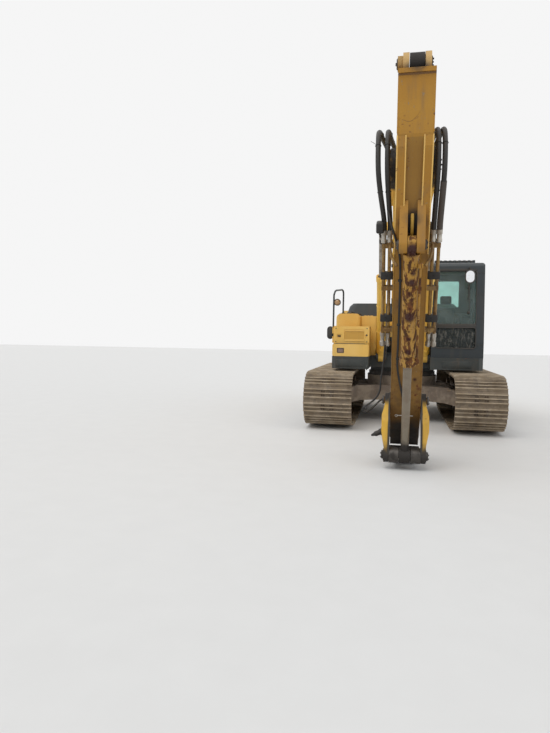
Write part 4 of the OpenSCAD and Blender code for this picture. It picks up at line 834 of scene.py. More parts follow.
def tube_part(route: Iterable[Sequence[float]], radius: float, smooth: bool = True,
              sides: int = 12, steps: int = 5, closed: bool = False) -> Mesh:
    """Tube with closed ends along a route.

    Args:
        route: Points of its middle line.
        radius: Radius of the tube.
        smooth: True for one smooth curve, False for straight runs between the points.
        sides: Number of faces round it, an even number from 4.
        steps: Number of rings from one point to the next on a smooth curve.
        closed: True where the route ends at its start.

    Returns:
        The tube as a mesh.
    """
    points = [Vector(point) for point in route]
    curve = bpy.data.curves.new("tube_route", "CURVE")
    curve.dimensions = "3D"
    curve.bevel_depth = radius
    curve.bevel_resolution = (sides - 4) // 2
    curve.use_fill_caps = not closed
    curve.resolution_u = steps if smooth else 1
    spline = curve.splines.new("BEZIER")
    spline.bezier_points.add(len(points) - 1)
    for knot, place in zip(spline.bezier_points, points):
        knot.co = place
        knot.handle_left_type = knot.handle_right_type = "AUTO" if smooth else "VECTOR"
    spline.use_cyclic_u = closed
    holder = bpy.data.objects.new("tube_route", curve)
    mesh = bpy.data.meshes.new_from_object(holder)
    shape = bmesh.new()
    shape.from_mesh(mesh)
    bpy.data.objects.remove(holder)
    bpy.data.curves.remove(curve)
    bpy.data.meshes.remove(mesh)
    return sealed(shape)


def put(x: float, forward: float, z: float) -> Matrix:
    """Matrix that puts a part, unturned, at a distance ahead of the swing centre."""
    return move_to(at(x, forward, z))


def aimed(place: Sequence[float], way: Sequence[float]) -> Matrix:
    """Matrix that puts a part's origin at a place and turns its Z along a way."""
    return move_to(place) @ Vector(way).to_track_quat("Z", "Y").to_matrix().to_4x4()


def faced(side: int, x: float, forward: float, z: float) -> Matrix:
    """Matrix that puts a part at a place and turns its Z toward +X or -X."""
    return aimed(at(x, forward, z), (side, 0, 0))


def moved(place: Sequence[float], turn: Point) -> Matrix:
    """Matrix that turns a part about X, Y and Z, in degrees, and puts it at a place."""
    return move_to(place) @ Euler([math.radians(a) for a in turn]).to_matrix().to_4x4()


def turned(degrees: float, axis: str = "X") -> Matrix:
    """Matrix that turns a part about one axis."""
    return Matrix.Rotation(math.radians(degrees), 4, axis)


def bar(start: Sequence[float], end: Sequence[float], radius: float, sides: int = 16) -> Mesh:
    """Round bar from one place to another.

    Args:
        start: Middle of one end.
        end: Middle of the other.
        radius: Radius.
        sides: Number of sides.

    Returns:
        The mesh.
    """
    way = Vector(end) - Vector(start)
    shape = rod_part(radius, way.length, sides=sides)
    shape.transform(aimed(start, way))
    return shape


def rounded_loop(low: Pair, high: Pair, radius: float, steps: int = 5, spread: int = 4) -> list[Pair]:
    """Points round a rectangle with rounded corners.

    Args:
        low: Lowest corner.
        high: Highest corner.
        radius: Radius of the corners.
        steps: Stretches in each corner.
        spread: Stretches along each straight side.

    Returns:
        The points in order, without a repeated end.
    """
    corners = ((high[0] - radius, high[1] - radius), (low[0] + radius, high[1] - radius),
               (low[0] + radius, low[1] + radius), (high[0] - radius, low[1] + radius))
    arcs = [[(x + radius * math.cos(a), z + radius * math.sin(a)) for a in
             ((quarter + k / steps) * math.pi / 2 for k in range(steps + 1))]
            for quarter, (x, z) in enumerate(corners)]
    points: list[Pair] = []
    for arc, (x, z) in zip(arcs, [after[0] for after in arcs[1:] + arcs[:1]]):
        last = arc[-1]
        points += arc + [(last[0] + (x - last[0]) * k / spread, last[1] + (z - last[1]) * k / spread)
                         for k in range(1, spread)]
    return points


def oval_loop(half_w: float, half_h: float, inset: float = 0.0) -> list[Pair]:
    """Points round an upright oval with straight sides, drawn in by the inset."""
    grow = half_h - half_w
    return [(x, z + math.copysign(grow, z)) for x, z in circle(32, half_w - inset, 0.5)]


class Assembly:
    """Gathers mesh parts and turns them into one finished piece."""

    def __init__(self) -> None:
        """Starts with no parts."""
        self.shape = bmesh.new()

    def add(self, part: Mesh, *places: Matrix) -> "Assembly":
        """Adds a part once, or once at each place, and frees it.

        Args:
            part: The part, which is used up.
            places: Matrices of its places. A mirrored one keeps the faces outward.

        Returns:
            The assembly, for the next call.
        """
        mesh = bpy.data.meshes.new("part")
        part.to_mesh(mesh)
        part.free()
        for place in places or (Matrix(),):
            copy = mesh.copy()
            copy.transform(place)
            if place.determinant() < 0:
                copy.flip_normals()
            self.shape.from_mesh(copy)
            bpy.data.meshes.remove(copy)
        bpy.data.meshes.remove(mesh)
        return self

    def box(self, size: Point, bevel: float, *places: Matrix, segments: int = 2) -> "Assembly":
        """Adds a box with rounded edges at each place."""
        return self.add(box_part(size, bevel, segments), *places)

    def bolts(self, size: float, places: Iterable[Matrix]) -> "Assembly":
        """Adds a bolt head of this width at each place."""
        return self.add(bolt_part(size), *places)

    def bead(self, points: Iterable[Vector], radius: float, sides: int = 6,
             closed: bool = False) -> "Assembly":
        """Adds a tube with straight runs between the points."""
        return self.add(tube_part(points, radius, False, sides, closed=closed))

    def hose(self, points: Iterable[Vector], radius: float, sides: int = 10, steps: int = 5) -> "Assembly":
        """Adds a tube with one smooth curve through the points."""
        return self.add(tube_part(points, radius, True, sides, steps))

    def make(self, name: str, finish: Finish, replaces: tuple[str, ...],
             crease: float = 35.0) -> bpy.types.Object:
        """Makes the piece's object.

        Args:
            name: Name of the piece.
            finish: Its finish.
            replaces: CAD nodes that it stands for.
            crease: Edges that turn by more than this, in degrees, stay sharp.

        Returns:
            The object.
        """
        mesh = bpy.data.meshes.new(name)
        self.shape.to_mesh(mesh)
        self.shape.free()
        mesh.polygons.foreach_set("use_smooth", [True] * len(mesh.polygons))
        mesh.set_sharp_from_angle(angle=math.radians(crease))
        mesh.materials.append(finish.material())
        piece = bpy.data.objects.new(name, mesh)
        bpy.context.scene.collection.objects.link(piece)
        if replaces:
            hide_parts(*replaces)
        log.info("%s: %d faces", name, len(mesh.polygons))
        return piece

    def finish(self, name: str, finish: Finish, body: str, replaces: tuple[str, ...] = (),
               crease: float = 35.0) -> None:
        """Makes the piece, lets it ride on its body and hides the CAD nodes that it stands for."""
        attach(self.make(name, finish, replaces, crease), body)

    def span(self, name: str, finish: Finish, bodies: tuple[str, str], start: Vector, end: Vector,
             replaces: tuple[str, ...] = ()) -> None:
        """Makes the piece and bakes its place into its mesh."""
        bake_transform(self.make(name, finish, replaces))


@dataclass(frozen=True)
class Limb:
    """Frame along a boom, arm, ram or link: a start in (forward, up) and a direction."""

    forward: float
    up: float
    degrees: float

    def axes(self) -> tuple[Vector, Vector]:
        """Directions along and up the limb."""
        turn = math.radians(self.degrees)
        return (Vector((0, -math.cos(turn), math.sin(turn))), Vector((0, math.sin(turn), math.cos(turn))))

    def to(self, x: float, along: float, rise: float) -> Vector:
        """Place given across, along and up the limb."""
        ahead, above = self.axes()
        return at(x, self.forward, self.up) + ahead * along + above * rise

    def level(self, x: float, along: float, rise: float) -> Matrix:
        """Matrix for a part drawn with X across, -Y along and Z up the limb.

        Args:
            x: Distance across.
            along: Distance along the limb.
            rise: Distance above its line.

        Returns:
            The matrix.
        """
        ahead, above = self.axes()
        turn = Matrix((Vector((1, 0, 0)), -ahead, above)).transposed().to_4x4()
        return move_to(self.to(x, along, rise)) @ turn

    def side(self, x: float) -> Matrix:
        """Matrix for an outline drawn in (along, up), whose thickness goes toward -X.

        Args:
            x: Distance across.

        Returns:
            The matrix.
        """
        ahead, above = self.axes()
        turn = Matrix((ahead, above, Vector((-1, 0, 0)))).transposed().to_4x4()
        return move_to(self.to(x, 0, 0)) @ turn


def between(ends: tuple[Pair, Pair]) -> Limb:
    """Limb from one (forward, up) place toward another."""
    start, end = ends
    return Limb(*start, math.degrees(math.atan2(end[1] - start[1], end[0] - start[0])))


BOOM = Limb(0.15, 1.95, 15.5)
BOOM_TOP = Limb(2.9999, 3.9129, -3.184)
ARM = Limb(5.95106, 3.55878, -113.2)


# Undercarriage
@dataclass
class ChainLoop:
    """Pin line of a track chain, walked from the middle of the ground run."""

    half_flat: float = 1.5
    half_base: float = TRACK_HALF_BASE
    pin_z: float = 0.09
    wheel_z: float = TRACK_WHEEL_Z
    wheel_r: float = 0.392
    count: int = 48

    def __post_init__(self) -> None:
        """Works out the ramp, the arc round a wheel and the pitch."""
        run, climb = self.half_base - self.half_flat, self.wheel_z - self.pin_z
        reach = math.hypot(run, climb)
        self.ramp = math.sqrt(reach ** 2 - self.wheel_r ** 2)
        self.slope = math.atan2(climb, run) - math.asin(self.wheel_r / reach)
        self.arc = self.wheel_r * (math.pi - self.slope)
        self.half_loop = self.half_flat + self.ramp + self.arc + self.half_base
        self.pitch = 2 * self.half_loop / self.count

    def spot(self, way: float) -> Pair:
        """Place (forward, up) at a distance along the pin line.

        Args:
            way: Distance from the middle of the ground run.

        Returns:
            The place.
        """
        if way > self.half_loop:
            forward, up = self.spot(2 * self.half_loop - way)
            return -forward, up
        if way < self.half_flat:
            return way, self.pin_z
        way -= self.half_flat
        if way < self.ramp:
            return (self.half_flat + way * math.cos(self.slope), self.pin_z + way * math.sin(self.slope))
        way -= self.ramp
        if way < self.arc:
            turn = self.slope + way / self.wheel_r
            return (self.half_base + self.wheel_r * math.sin(turn),
                    self.wheel_z - self.wheel_r * math.cos(turn))
        return self.half_base - (way - self.arc), self.wheel_z + self.wheel_r

    def joint(self, index: int) -> Pair:
        """Place (forward, up) of a chain joint."""
        return self.spot(index % self.count * self.pitch)

    def link(self, index: int, x: float) -> Matrix:
        """Matrix of a link: X across, Y along the chain, Z outward, origin on the pin line.

        Args:
            index: Number of the link.
            x: Distance across.

        Returns:
            The matrix.
        """
        (f0, z0), (f1, z1) = self.joint(index), self.joint(index + 1)
        turn = math.atan2(z1 - z0, f1 - f0)
        out = Vector((0, -math.sin(turn), -math.cos(turn)))
        along = Vector((0, -math.cos(turn), math.sin(turn)))
        turns = Matrix((Vector((1, 0, 0)), along, out)).transposed().to_4x4()
        return put(x, (f0 + f1) / 2, (z0 + z1) / 2) @ turns


@dataclass
class Undercarriage:
    """Tracks with separate shoes, wheel and roller fittings, carbody bolts and dried mud."""

    chain: ChainLoop = field(default_factory=ChainLoop)
    half_gauge: float = 1.295
    shoe_w: float = 0.85
    plate_low: float = 0.048
    plate_t: float = 0.012
    grouser_h: float = 0.03
    shoe_gap: float = 0.01
    lip_l: float = 0.04
    relief_w: float = 0.075
    rail_x: float = 0.071
    rail_t: float = 0.042
    frame_out: float = 0.142
    roller_z: float = 0.2353
    roller_end: float = 1.286
    rollers: int = 9
    valley: float = 0.165
    mud: tuple[tuple[float, float, float, float], ...] = (
        (-0.92, 0.98, 0.655, 0.075), (-1.02, 0.8, 0.635, 0.055), (0.98, 0.9, 0.65, 0.065),
        (0.9, 1.02, 0.665, 0.05), (-0.98, -0.94, 0.65, 0.07), (1.0, -0.9, 0.645, 0.06),
        (-1.3, 0.35, 0.69, 0.06), (-1.26, -0.55, 0.69, 0.05), (1.28, 0.2, 0.69, 0.055),
        (1.33, -0.4, 0.69, 0.065), (-1.33, 0.86, 0.688, 0.05), (1.26, 0.8, 0.688, 0.045),
        (-1.05, 1.05, 0.62, 0.05), (1.04, 1.05, 0.622, 0.045))

    def build(self) -> None:
        """Builds both sides and what lies between them."""
        for side, name in ((1, "left"), (-1, "right")):
            x = side * self.half_gauge
            self.make_shoes(x, name)
            self.make_chain(x, name)
            self.make_frame_fittings(x, side, name)
        self.make_wheel_fittings()
        self.make_carbody_fittings()
        self.make_mud()

    def shoe_part(self) -> Mesh:
        """Triple-bar shoe with lips at both ends and a relief pocket in each valley.

        Returns:
            The mesh.
        """
        pitch, top, low = self.chain.pitch, self.plate_low + self.plate_t, self.plate_low
        half = pitch / 2 - self.shoe_gap / 2
        outline = [(-half, low - 0.004), (-half, top - 0.006), (-half + 0.008, top)]
        for share in (-0.33, 0.0, 0.33):
            mid = share * pitch
            outline += [(mid - 0.013, top), (mid - 0.008, top + self.grouser_h),
                        (mid + 0.008, top + self.grouser_h), (mid + 0.013, top)]
        lip = half + self.lip_l
        outline += [(half - 0.01, top), (half, top - 0.008), (half, low - 0.004),
                    (lip, low - 0.013), (lip, low - 0.018), (half - 0.004, low - 0.011),
                    (half - 0.008, low), (-half + 0.006, low)]
        shape = plate_part(outline, self.shoe_w)
        shape.transform(self.across(-self.shoe_w / 2))
        for x in (-0.5, 0.5):
            bmesh.ops.bisect_plane(shape, geom=[*shape.verts, *shape.edges, *shape.faces],
                                   plane_co=(x * self.relief_w, 0, 0), plane_no=(1, 0, 0))
        pockets = []
        for face in shape.faces:
            centre = face.calc_center_median()
            valley = abs(abs(centre.y) - self.valley * pitch) < 0.01 and abs(centre.z - top) < 0.001
            if valley and abs(centre.x) < self.relief_w / 4:
                pockets.append(face)
        bmesh.ops.inset_individual(shape, faces=pockets, thickness=0.006, depth=-0.011)
        return rounded(shape, 0.0025, 1, 0.8)

    @staticmethod
    def across(x: float) -> Matrix:
        """Matrix that stands an outline of (along, out) up, with its thickness toward +X."""
        return Matrix(((0, 0, 1, x), (1, 0, 0, 0), (0, 1, 0, 0), (0, 0, 0, 1)))

    def make_shoes(self, x: float, name: str) -> None:
        """Lays the shoes and their bolts round the loop. They stand for the CAD track.

        Args:
            x: Middle of the track.
            name: Side that the names end in.
        """
        places = [self.chain.link(i, x) for i in range(self.chain.count)]
        Assembly().add(self.shoe_part(), *places).finish(
            f"track_shoes_{name}", SHOES, "undercarriage", (f"track_{name}",))
        spots = [move_to((side * out, along * self.valley * self.chain.pitch,
                                     self.plate_low + self.plate_t))
                 for side in SIDES for out in (0.06, 0.098) for along in SIDES]
        bolts = Assembly().bolts(0.022, [place @ spot for place in places for spot in spots])
        bolts.finish(f"track_bolts_{name}", GRIMY, "undercarriage")

    def make_chain(self, x: float, name: str) -> None:
        """Links, bushes and pins between the shoes and the wheels.

        Args:
            x: Middle of the track.
            name: Side that the names end in.
        """
        half, shift = self.chain.pitch / 2, 0.0105
        outline = [(-half - 0.035, -0.02), (-half - 0.035, 0.02), (-half + 0.02, self.plate_low),
                   (half - 0.02, self.plate_low), (half + 0.02, 0.02), (half + 0.02, -0.02),
                   (half - 0.015, -0.05), (-half + 0.005, -0.05)]
        link = plate_part(outline, self.rail_t / 2, 0.003)
        link.transform(self.across(0))
        links = Assembly().add(link, *[
            self.chain.link(i, x)
            @ move_to((side * self.rail_x - self.rail_t / 2 * (side > 0), 0, 0))
            @ move_to((shift * (1 if i % 2 else -1) + shift, 0, 0))
            for i in range(self.chain.count) for side in SIDES])
        joints = [put(x, *self.chain.joint(i)) for i in range(self.chain.count)]
        for radius, half_l, sides in ((0.021, 0.104, 10), (0.033, 0.049, 12)):
            pin = rod_part(radius, 2 * half_l, sides=sides)
            pin.transform(move_to((-half_l, 0, 0)) @ turned(90, "Y"))
            links.add(pin, *joints)
        links.finish(f"track_chain_{name}", RUNNING_GEAR, "undercarriage")

    def make_frame_fittings(self, x: float, side: int, name: str) -> None:
        """Roller end collars, bolted covers, chain guards and seams on one track frame.

        Args:
            x: Middle of the track.
            side: 1 for the cab's side, -1 for the other.
            name: Side that the names end in.
        """
        parts = Assembly()
        for i in range(self.rollers):
            forward = -self.roller_end + i * 2 * self.roller_end / (self.rollers - 1)
            for face in SIDES:
                out = x + face * self.frame_out
                parts.add(disc_part(0.034, 0.008, (0.012, 0.004, -0.004), 12),
                          faced(face, out, forward, self.roller_z))
                parts.bolts(0.018, [faced(face, out, forward + shift, 0.325) for shift in (-0.05, 0.05)])
        outer = x + side * (self.frame_out + 0.001)
        for forward, length in ((1.15, 0.34), (-0.9, 0.46)):
            parts.box((0.012, length, 0.17), 0.004, put(outer, forward, 0.49))
            parts.bolts(0.016, [
                faced(side, outer + side * 0.005, forward + a * (length / 2 - 0.025), 0.49 + b * 0.062)
                for a in (-1, 0, 1) for b in SIDES])
        for forward in (-0.75, 0.75):
            for face in SIDES:
                parts.box((0.02, 0.44, 0.085), 0.006,
                          put(x + face * (self.frame_out + 0.008), forward, 0.195))
        parts.finish(f"track_frame_fittings_{name}", CARBODY, "undercarriage")
        seams = Assembly()
        for face in SIDES:
            edge = x + face * (self.frame_out + 0.001)
            for back, front, z in ((-1.45, 1.45, 0.372), (-1.28, 1.12, 0.638)):
                seams.bead([at(edge, back, z), at(edge, front, z)], 0.006)
        seams.finish(f"track_frame_seams_{name}", CARBODY, "undercarriage")

    def make_wheel_fittings(self) -> None:
        """Idler hubs, sprocket bolts and final drive plugs."""
        parts = Assembly()
        base, up = self.chain.half_base, self.chain.wheel_z
        hub = [(0, 0.016), (0.05, 0.016), (0.066, 0.01), (0.074, 0.0), (0.074, -0.006)]
        for side in SIDES:
            x = side * self.half_gauge
            for face in SIDES:
                parts.add(spun_part(hub, 24), faced(face, x + face * 0.1435, base, up))
                parts.add(rod_part(0.022, 0.01, 0.016, 12), *[
                    faced(face, x + face * 0.092, base + b, up + a)
                    for a, b in circle(8, 0.21)])
            drive = at(x, -base, up)
            for count, radius, out, size in ((20, 0.305, 0.038, 0.024), (24, 0.233, 0.098, 0.018),
                                             (12, 0.18, 0.228, 0.016), (3, 0.085, 0.25, 0.03)):
                parts.bolts(size, [aimed(drive + Vector((side * out, b, a)), (side, 0, 0))
                                   for a, b in circle(count, radius)])
        parts.finish("wheel_fittings", RUNNING_GEAR, "undercarriage")

    def make_carbody_fittings(self) -> None:
        """Bolts of the swing bearing, weld seams of the carbody and the drive hoses."""
        parts = Assembly()
        parts.bolts(0.026, [aimed(at(b, a, 0.896), (0, 0, 1)) for a, b in circle(36, 0.69)])
        parts.finish("swing_bearing_bolts", BEARING, "undercarriage")
        seams = Assembly().add(ring_part(0.702, 0.018, 64, 8), put(0, 0, 0.717))
        for side in SIDES:
            for end in SIDES:
                seams.bead([at(side * 0.86, end * 0.98, 0.713), at(side * 1.148, end * 1.18, 0.59)], 0.008)
        seams.finish("carbody_seams", CARBODY, "undercarriage")
        hoses = Assembly()
        for side in SIDES:
            for k in range(2):
                back = 0.05 * k
                hoses.hose([at(side * x, forward, z) for x, forward, z in (
                    (0.3, -0.62 - back, 0.6), (0.55, -0.92 - back, 0.5), (0.82, -1.3 - back, 0.47),
                    (1.02 + 0.03 * k, -1.72, 0.5), (1.1 + 0.02 * k, -1.93, 0.56))], 0.016, 12)
        hoses.finish("drive_hoses", RUBBER, "undercarriage")

    def make_mud(self) -> None:
        """Clods of dried mud that lie on the carbody's legs and the track frames."""
        clods = Assembly()
        for seed, (x, forward, up, radius) in enumerate(self.mud):
            clods.add(clod_part(radius, seed), put(x, forward, up))
        clods.finish("dried_mud", MUD, "undercarriage", crease=60.0)


# Upper structure
@dataclass
class UpperStructure:
    """Fittings of the deck, engine house, hood, counterweight, tanks and boxes."""

    half_w: float = 1.47
    deck_top: float = 1.3
    house_top: float = 2.09
    hood_top: float = 2.4603
    weight_top: float = 2.33
    tail: float = 3.3
    tank_side: float = -1.33
    tank_top: float = 2.135
    box_side: float = -1.304
    box_in: float = -0.629
    box_front: float = 1.4255
    door_low: float = 1.367
    door_high: float = 2.043
    valve_x: tuple[float, ...] = tuple(-0.15 + k * 0.06 for k in range(6))

    def build(self) -> None:
        """Builds every group of fittings."""
        self.make_deck()
        self.make_doors()
        self.make_hood()
        self.make_weight()
        self.make_tanks()
        self.make_boxes()
        self.make_rail()
        self.make_mirrors()
        self.make_tower_pins()
        self.make_machinery()

    def make_deck(self) -> None:
        """Bolted covers, lashing eyes and side plates of the deck, and the grip plates."""
        parts = Assembly()
        half = 0.26
        for x, forward in ((-0.97, 1.62), (0.99, 1.23)):
            parts.box((2 * half, 0.012, 0.13), 0.004, put(x, forward + 0.005, 1.175))
            parts.bolts(0.02, [aimed(at(x + a * (half - 0.03), forward + 0.011, z), (0, -1, 0))
                                for a in (-1, 0, 1) for z in (1.13, 1.22)])
        parts.add(ring_part(0.042, 0.022, 20, 8), *[
            moved(at(x, forward, 1.1), (0, 90, 0)) for x, forward in ((-0.66, 1.6), (0.58, 1.14))])
        for side in SIDES:
            for forward in (-1.9, -1.2, -0.55):
                parts.box((0.01, 0.34, 0.12), 0.003, put(side * (self.half_w + 0.004), forward, 1.175))
                parts.bolts(0.018, [faced(side, side * (self.half_w + 0.009), forward + f, z)
                                    for f in (-0.14, 0.14) for z in (1.135, 1.215)])
        parts.finish("deck_fittings", DECK_PAINT, "upper")
        grip, pitch = Assembly(), 0.035
        for x0, x1, f0, f1, z in ((-1.27, -0.66, 1.46, 1.6, 1.531), (-1.28, -0.86, -0.3, 0.6, 2.1355)):
            grip.box((x1 - x0, f1 - f0, 0.006), 0.002, put((x0 + x1) / 2, (f0 + f1) / 2, z + 0.003),
                     segments=1)
            rows, columns = int((f1 - f0) / pitch), int((x1 - x0) / pitch)
            grip.add(rod_part(0.007, 0.006, 0.005, 6), *[
                put(x0 + 0.02 + i * pitch + (j % 2) * pitch / 2, f0 + 0.02 + j * pitch, z + 0.005)
                for i in range(columns - 1) for j in range(rows)])
        grip.finish("grip_plates", BEARING, "upper")

    def make_doors(self) -> None:
        """Louvre blades, latches and pressings of the two side doors, and the house's edges."""
        for side, name, back, front, slots in ((1, "cooler", -2.273, -0.797, 6),
                                               (-1, "pump", -2.288, -1.507, 3)):
            x, length = side * self.half_w, front - back - 0.406
            Assembly().box((0.004, length, 0.03), 0.001, *[
                moved(at(x - side * 0.02, back + 0.153 + length / 2, self.door_low + 0.141 + k * 0.06),
                      (0, side * 38, 0)) for k in range(slots)],
                segments=1).finish(f"{name}_door_louvres", DARK, f"{name}_door")
            latch = at(x, front - 0.1, (self.door_low + self.door_high) / 2)
            trim = Assembly().box((0.012, 0.085, 0.13), 0.005, move_to(latch))
            trim.add(bar(latch + Vector((side * 0.006, 0, 0)), latch + Vector((side * 0.03, 0, 0)), 0.011))
            trim.box((0.012, 0.022, 0.1), 0.004, move_to(latch + Vector((side * 0.032, 0, -0.012))))
            trim.finish(f"{name}_door_latch", PLASTIC, f"{name}_door")
            loop = rounded_loop((back + 0.045, self.door_low + 0.045),
                                (front - 0.045, self.door_high - 0.045), 0.03, 3, 2)
            Assembly().bead([at(x + side * 0.0005, f, z) for f, z in loop], 0.004, closed=True).finish(
                f"{name}_door_pressing", BODY_YELLOW, f"{name}_door")
        seams = Assembly()
        for side, front in ((1, -0.7), (-1, -1.45)):
            out = side * (self.half_w - 0.001)
            seams.add(bar(at(out, -2.37, self.house_top), at(out, front, self.house_top), 0.01, 8))
            start, end = at(side * 1.44, -2.3, self.house_top), at(side * 1.44, front - 0.06, self.house_top)
            seams.bolts(0.018, [move_to(start.lerp(end, k / 6)) for k in range(7)])
        seams.finish("engine_house_edges", BODY_YELLOW, "upper")

    def make_hood(self) -> None:
        """Grille blades, handle and rubber latches of the hood, and the exhaust's rim."""
        Assembly().box((0.66, 0.003, 0.034), 0.001, *[
            moved(at(side * 0.56, -2.045 + k * 0.075 + shift, self.hood_top - 0.028), (-25, 0, 0))
            for side in SIDES for k in range(6) for shift in (-0.01, 0.01)],
            segments=1).finish("hood_grille_blades", BEARING, "engine_hood")
        trim = Assembly().bead(bent([at(-0.22, -2.262, 2.16), at(-0.22, -2.325, 2.17),
                                     at(0.22, -2.325, 2.17), at(0.22, -2.262, 2.16)], 0.03), 0.011, 12)
        for x in (-0.8, 0.8):
            trim.box((0.05, 0.03, 0.11), 0.008, put(x, -2.315, 2.15))
            trim.add(bar(at(x - 0.045, -2.332, 2.185), at(x + 0.045, -2.332, 2.185), 0.01))
        trim.finish("hood_handle_and_latches", PLASTIC, "engine_hood")
        base = at(-0.05, -1.9, self.hood_top)
        elbow = Assembly().add(spun_part([
            (0.052, 0.2), (0.052, 0.262), (0.067, 0.262), (0.067, 0.235), (0.072, 0.225),
            (0.072, 0.035), (0.066, 0.02)], 28), move_to(base))
        elbow.add(ring_part(0.068, 0.012, 28, 8), *[move_to(base + Vector((0, 0, z)))
                                                   for z in (0.05, 0.13, 0.225)])
        elbow.bolts(0.016, [move_to(base + Vector((a, b, 0.02))) for a, b in circle(6, 0.085)])
        elbow.finish("exhaust_rim", SOOT, "engine_hood")

    def on_tail(self, x: float) -> float:
        """Distance behind the swing centre of the counterweight's round back."""
        return math.sqrt(self.tail ** 2 - x ** 2)

    def make_weight(self) -> None:
        """Lifting eyes, plugs, grab rails and rear lamps of the counterweight."""
        spots = [at(side * 0.72, -2.78, self.weight_top) for side in SIDES]
        cast = Assembly().add(plate_part([
            (-0.09, 0.0), (0.09, 0.0), (0.075, 0.07), (0.045, 0.105), (-0.045, 0.105),
            (-0.075, 0.07)], 0.05, 0.006), *[moved(spot + Vector((0, 0.025, 0)), (90, 0, 0))
                                             for spot in spots])
        cast.add(ring_part(0.034, 0.016, 20, 8), *[moved(spot + Vector((0, y, 0.055)), (90, 0, 0))
                                                   for spot in spots for y in (-0.026, 0.026)])
        plug = [(0, -0.01), (0.045, -0.01), (0.052, 0.0), (0.07, 0.004), (0.078, -0.004)]
        cast.add(spun_part(plug, 24), *[aimed(at(x, -self.on_tail(x), 1.56), (x, self.on_tail(x), 0))
                                        for x in (-0.95, -0.35, 0.35, 0.95)])
        cast.finish("weight_castings", BODY_YELLOW, "upper")
        trim = Assembly()
        for x in (-1.1, 1.1):
            near, far = -self.on_tail(x) + 0.02, -self.on_tail(x) - 0.045
            trim.bead(bent([at(x, near, 1.8), at(x, far, 1.8), at(x, far, 2.04), at(x, near, 2.04)],
                           0.03), 0.011, 12)
        trim.finish("weight_grabs", DARK, "upper")
        lamps, faces = Assembly(), Assembly()
        for x in (-0.78, 0.78):
            turn = put(x, -self.on_tail(x), 1.92) @ Matrix.Rotation(math.atan2(-x, self.on_tail(x)), 4, "Z")
            lamps.box((0.2, 0.045, 0.075), 0.01, turn)
            faces.box((0.175, 0.01, 0.052), 0.004, turn @ move_to((0, 0.024, 0)))
        lamps.finish("rear_lamp_cases", PLASTIC, "upper")
        faces.finish("rear_lamp_lenses", RED_LENS, "upper")

    def make_tanks(self) -> None:
        """Filler cap, bolted lids, level gauge and the pressings of the tanks."""
        top = at(-1.08, 0.1, self.tank_top + 0.04)
        cap = Assembly().add(spun_part([
            (0, 0.03), (0.03, 0.03), (0.036, 0.02), (0.066, 0.018), (0.074, 0.008),
            (0.078, -0.004)], 28), move_to(top))
        cap.box((0.01, 0.014, 0.03), 0.003, *[
            moved(top + Vector((a, b, -0.012)), (0, 0, 30 * k))
            for k, (a, b) in enumerate(circle(12, 0.076))], segments=1)
        cap.finish("filler_cap", BEARING, "upper")
        lids = Assembly()
        for x, forward, radius in ((-0.7, -0.1, 0.13), (-0.7, 0.36, 0.1), (-1.05, -0.95, 0.14),
                                   (-0.7, -1.1, 0.1)):
            lids.add(disc_part(radius, 0.006, (0.012, 0.008, -0.002), 32), put(x, forward, self.house_top))
            lids.bolts(0.018, [put(x + a, forward + b, self.house_top + 0.011)
                               for a, b in circle(8, radius - 0.022)])
        lids.finish("tank_lids", BODY_YELLOW, "upper")
        side = self.tank_side
        Assembly().box((0.022, 0.05, 0.3), 0.006, put(side - 0.008, -1.18, 1.7)).finish(
            "level_gauge_case", BEARING, "upper")
        Assembly().box((0.01, 0.02, 0.24), 0.004, put(side - 0.02, -1.18, 1.7)).finish(
            "level_gauge_glass", MIRROR, "upper")
        panels = Assembly()
        for back, front, z in ((-1.37, -0.54, 1.7), (-0.38, 0.62, 1.72)):
            loop = rounded_loop((back, 1.4), (front, 2 * z - 1.4), 0.06, 4, 2)
            panels.bead([at(side - 0.0005, f, h) for f, h in loop], 0.0045, closed=True)
        panels.finish("tank_pressings", BODY_YELLOW, "upper")

    def make_boxes(self) -> None:
        """Handle, lock and lamp of the tool box's door and the step box."""
        face = self.box_front + 0.024
        spot = at(self.box_side + 0.107, face - 0.01, 1.678)
        handle = Assembly().box((0.058, 0.014, 0.03), 0.005, move_to(spot))
        handle.add(bar(spot, spot + Vector((0, -0.018, 0)), 0.009))
        handle.add(disc_part(0.018, 0.004, (0.01, 0.004, 0), 16),
                   aimed(at(self.box_in - 0.05, face, 1.7), (0, -1, 0)))
        handle.finish("tool_box_handle", BEARING, "tool_box_door")
        Assembly().bolts(0.013, [aimed(at(x, face, z), (0, -1, 0))
                                 for x in (self.box_side + 0.045, self.box_in - 0.045)
                                 for z in (1.575, 1.825)]).finish(
            "tool_box_screws", BEARING, "tool_box_door")
        spot = at(self.box_side + 0.1525, 1.604, 1.4083)
        rim = rounded_loop((-0.0625, -0.0435), (0.0625, 0.0435), 0.012, 3, 2)
        Assembly().bead([spot + Vector((x, -0.014, z)) for x, z in rim], 0.005, 8, True).finish(
            "step_lamp_rim", PLASTIC, "upper")
        Assembly().box((0.118, 0.01, 0.08), 0.004, move_to(spot)).finish(
            "step_lamp_lens", STEP_LENS, "upper")
        left, right, low, high = self.box_side + 0.201, self.box_side + 0.583, 1.585, 1.775
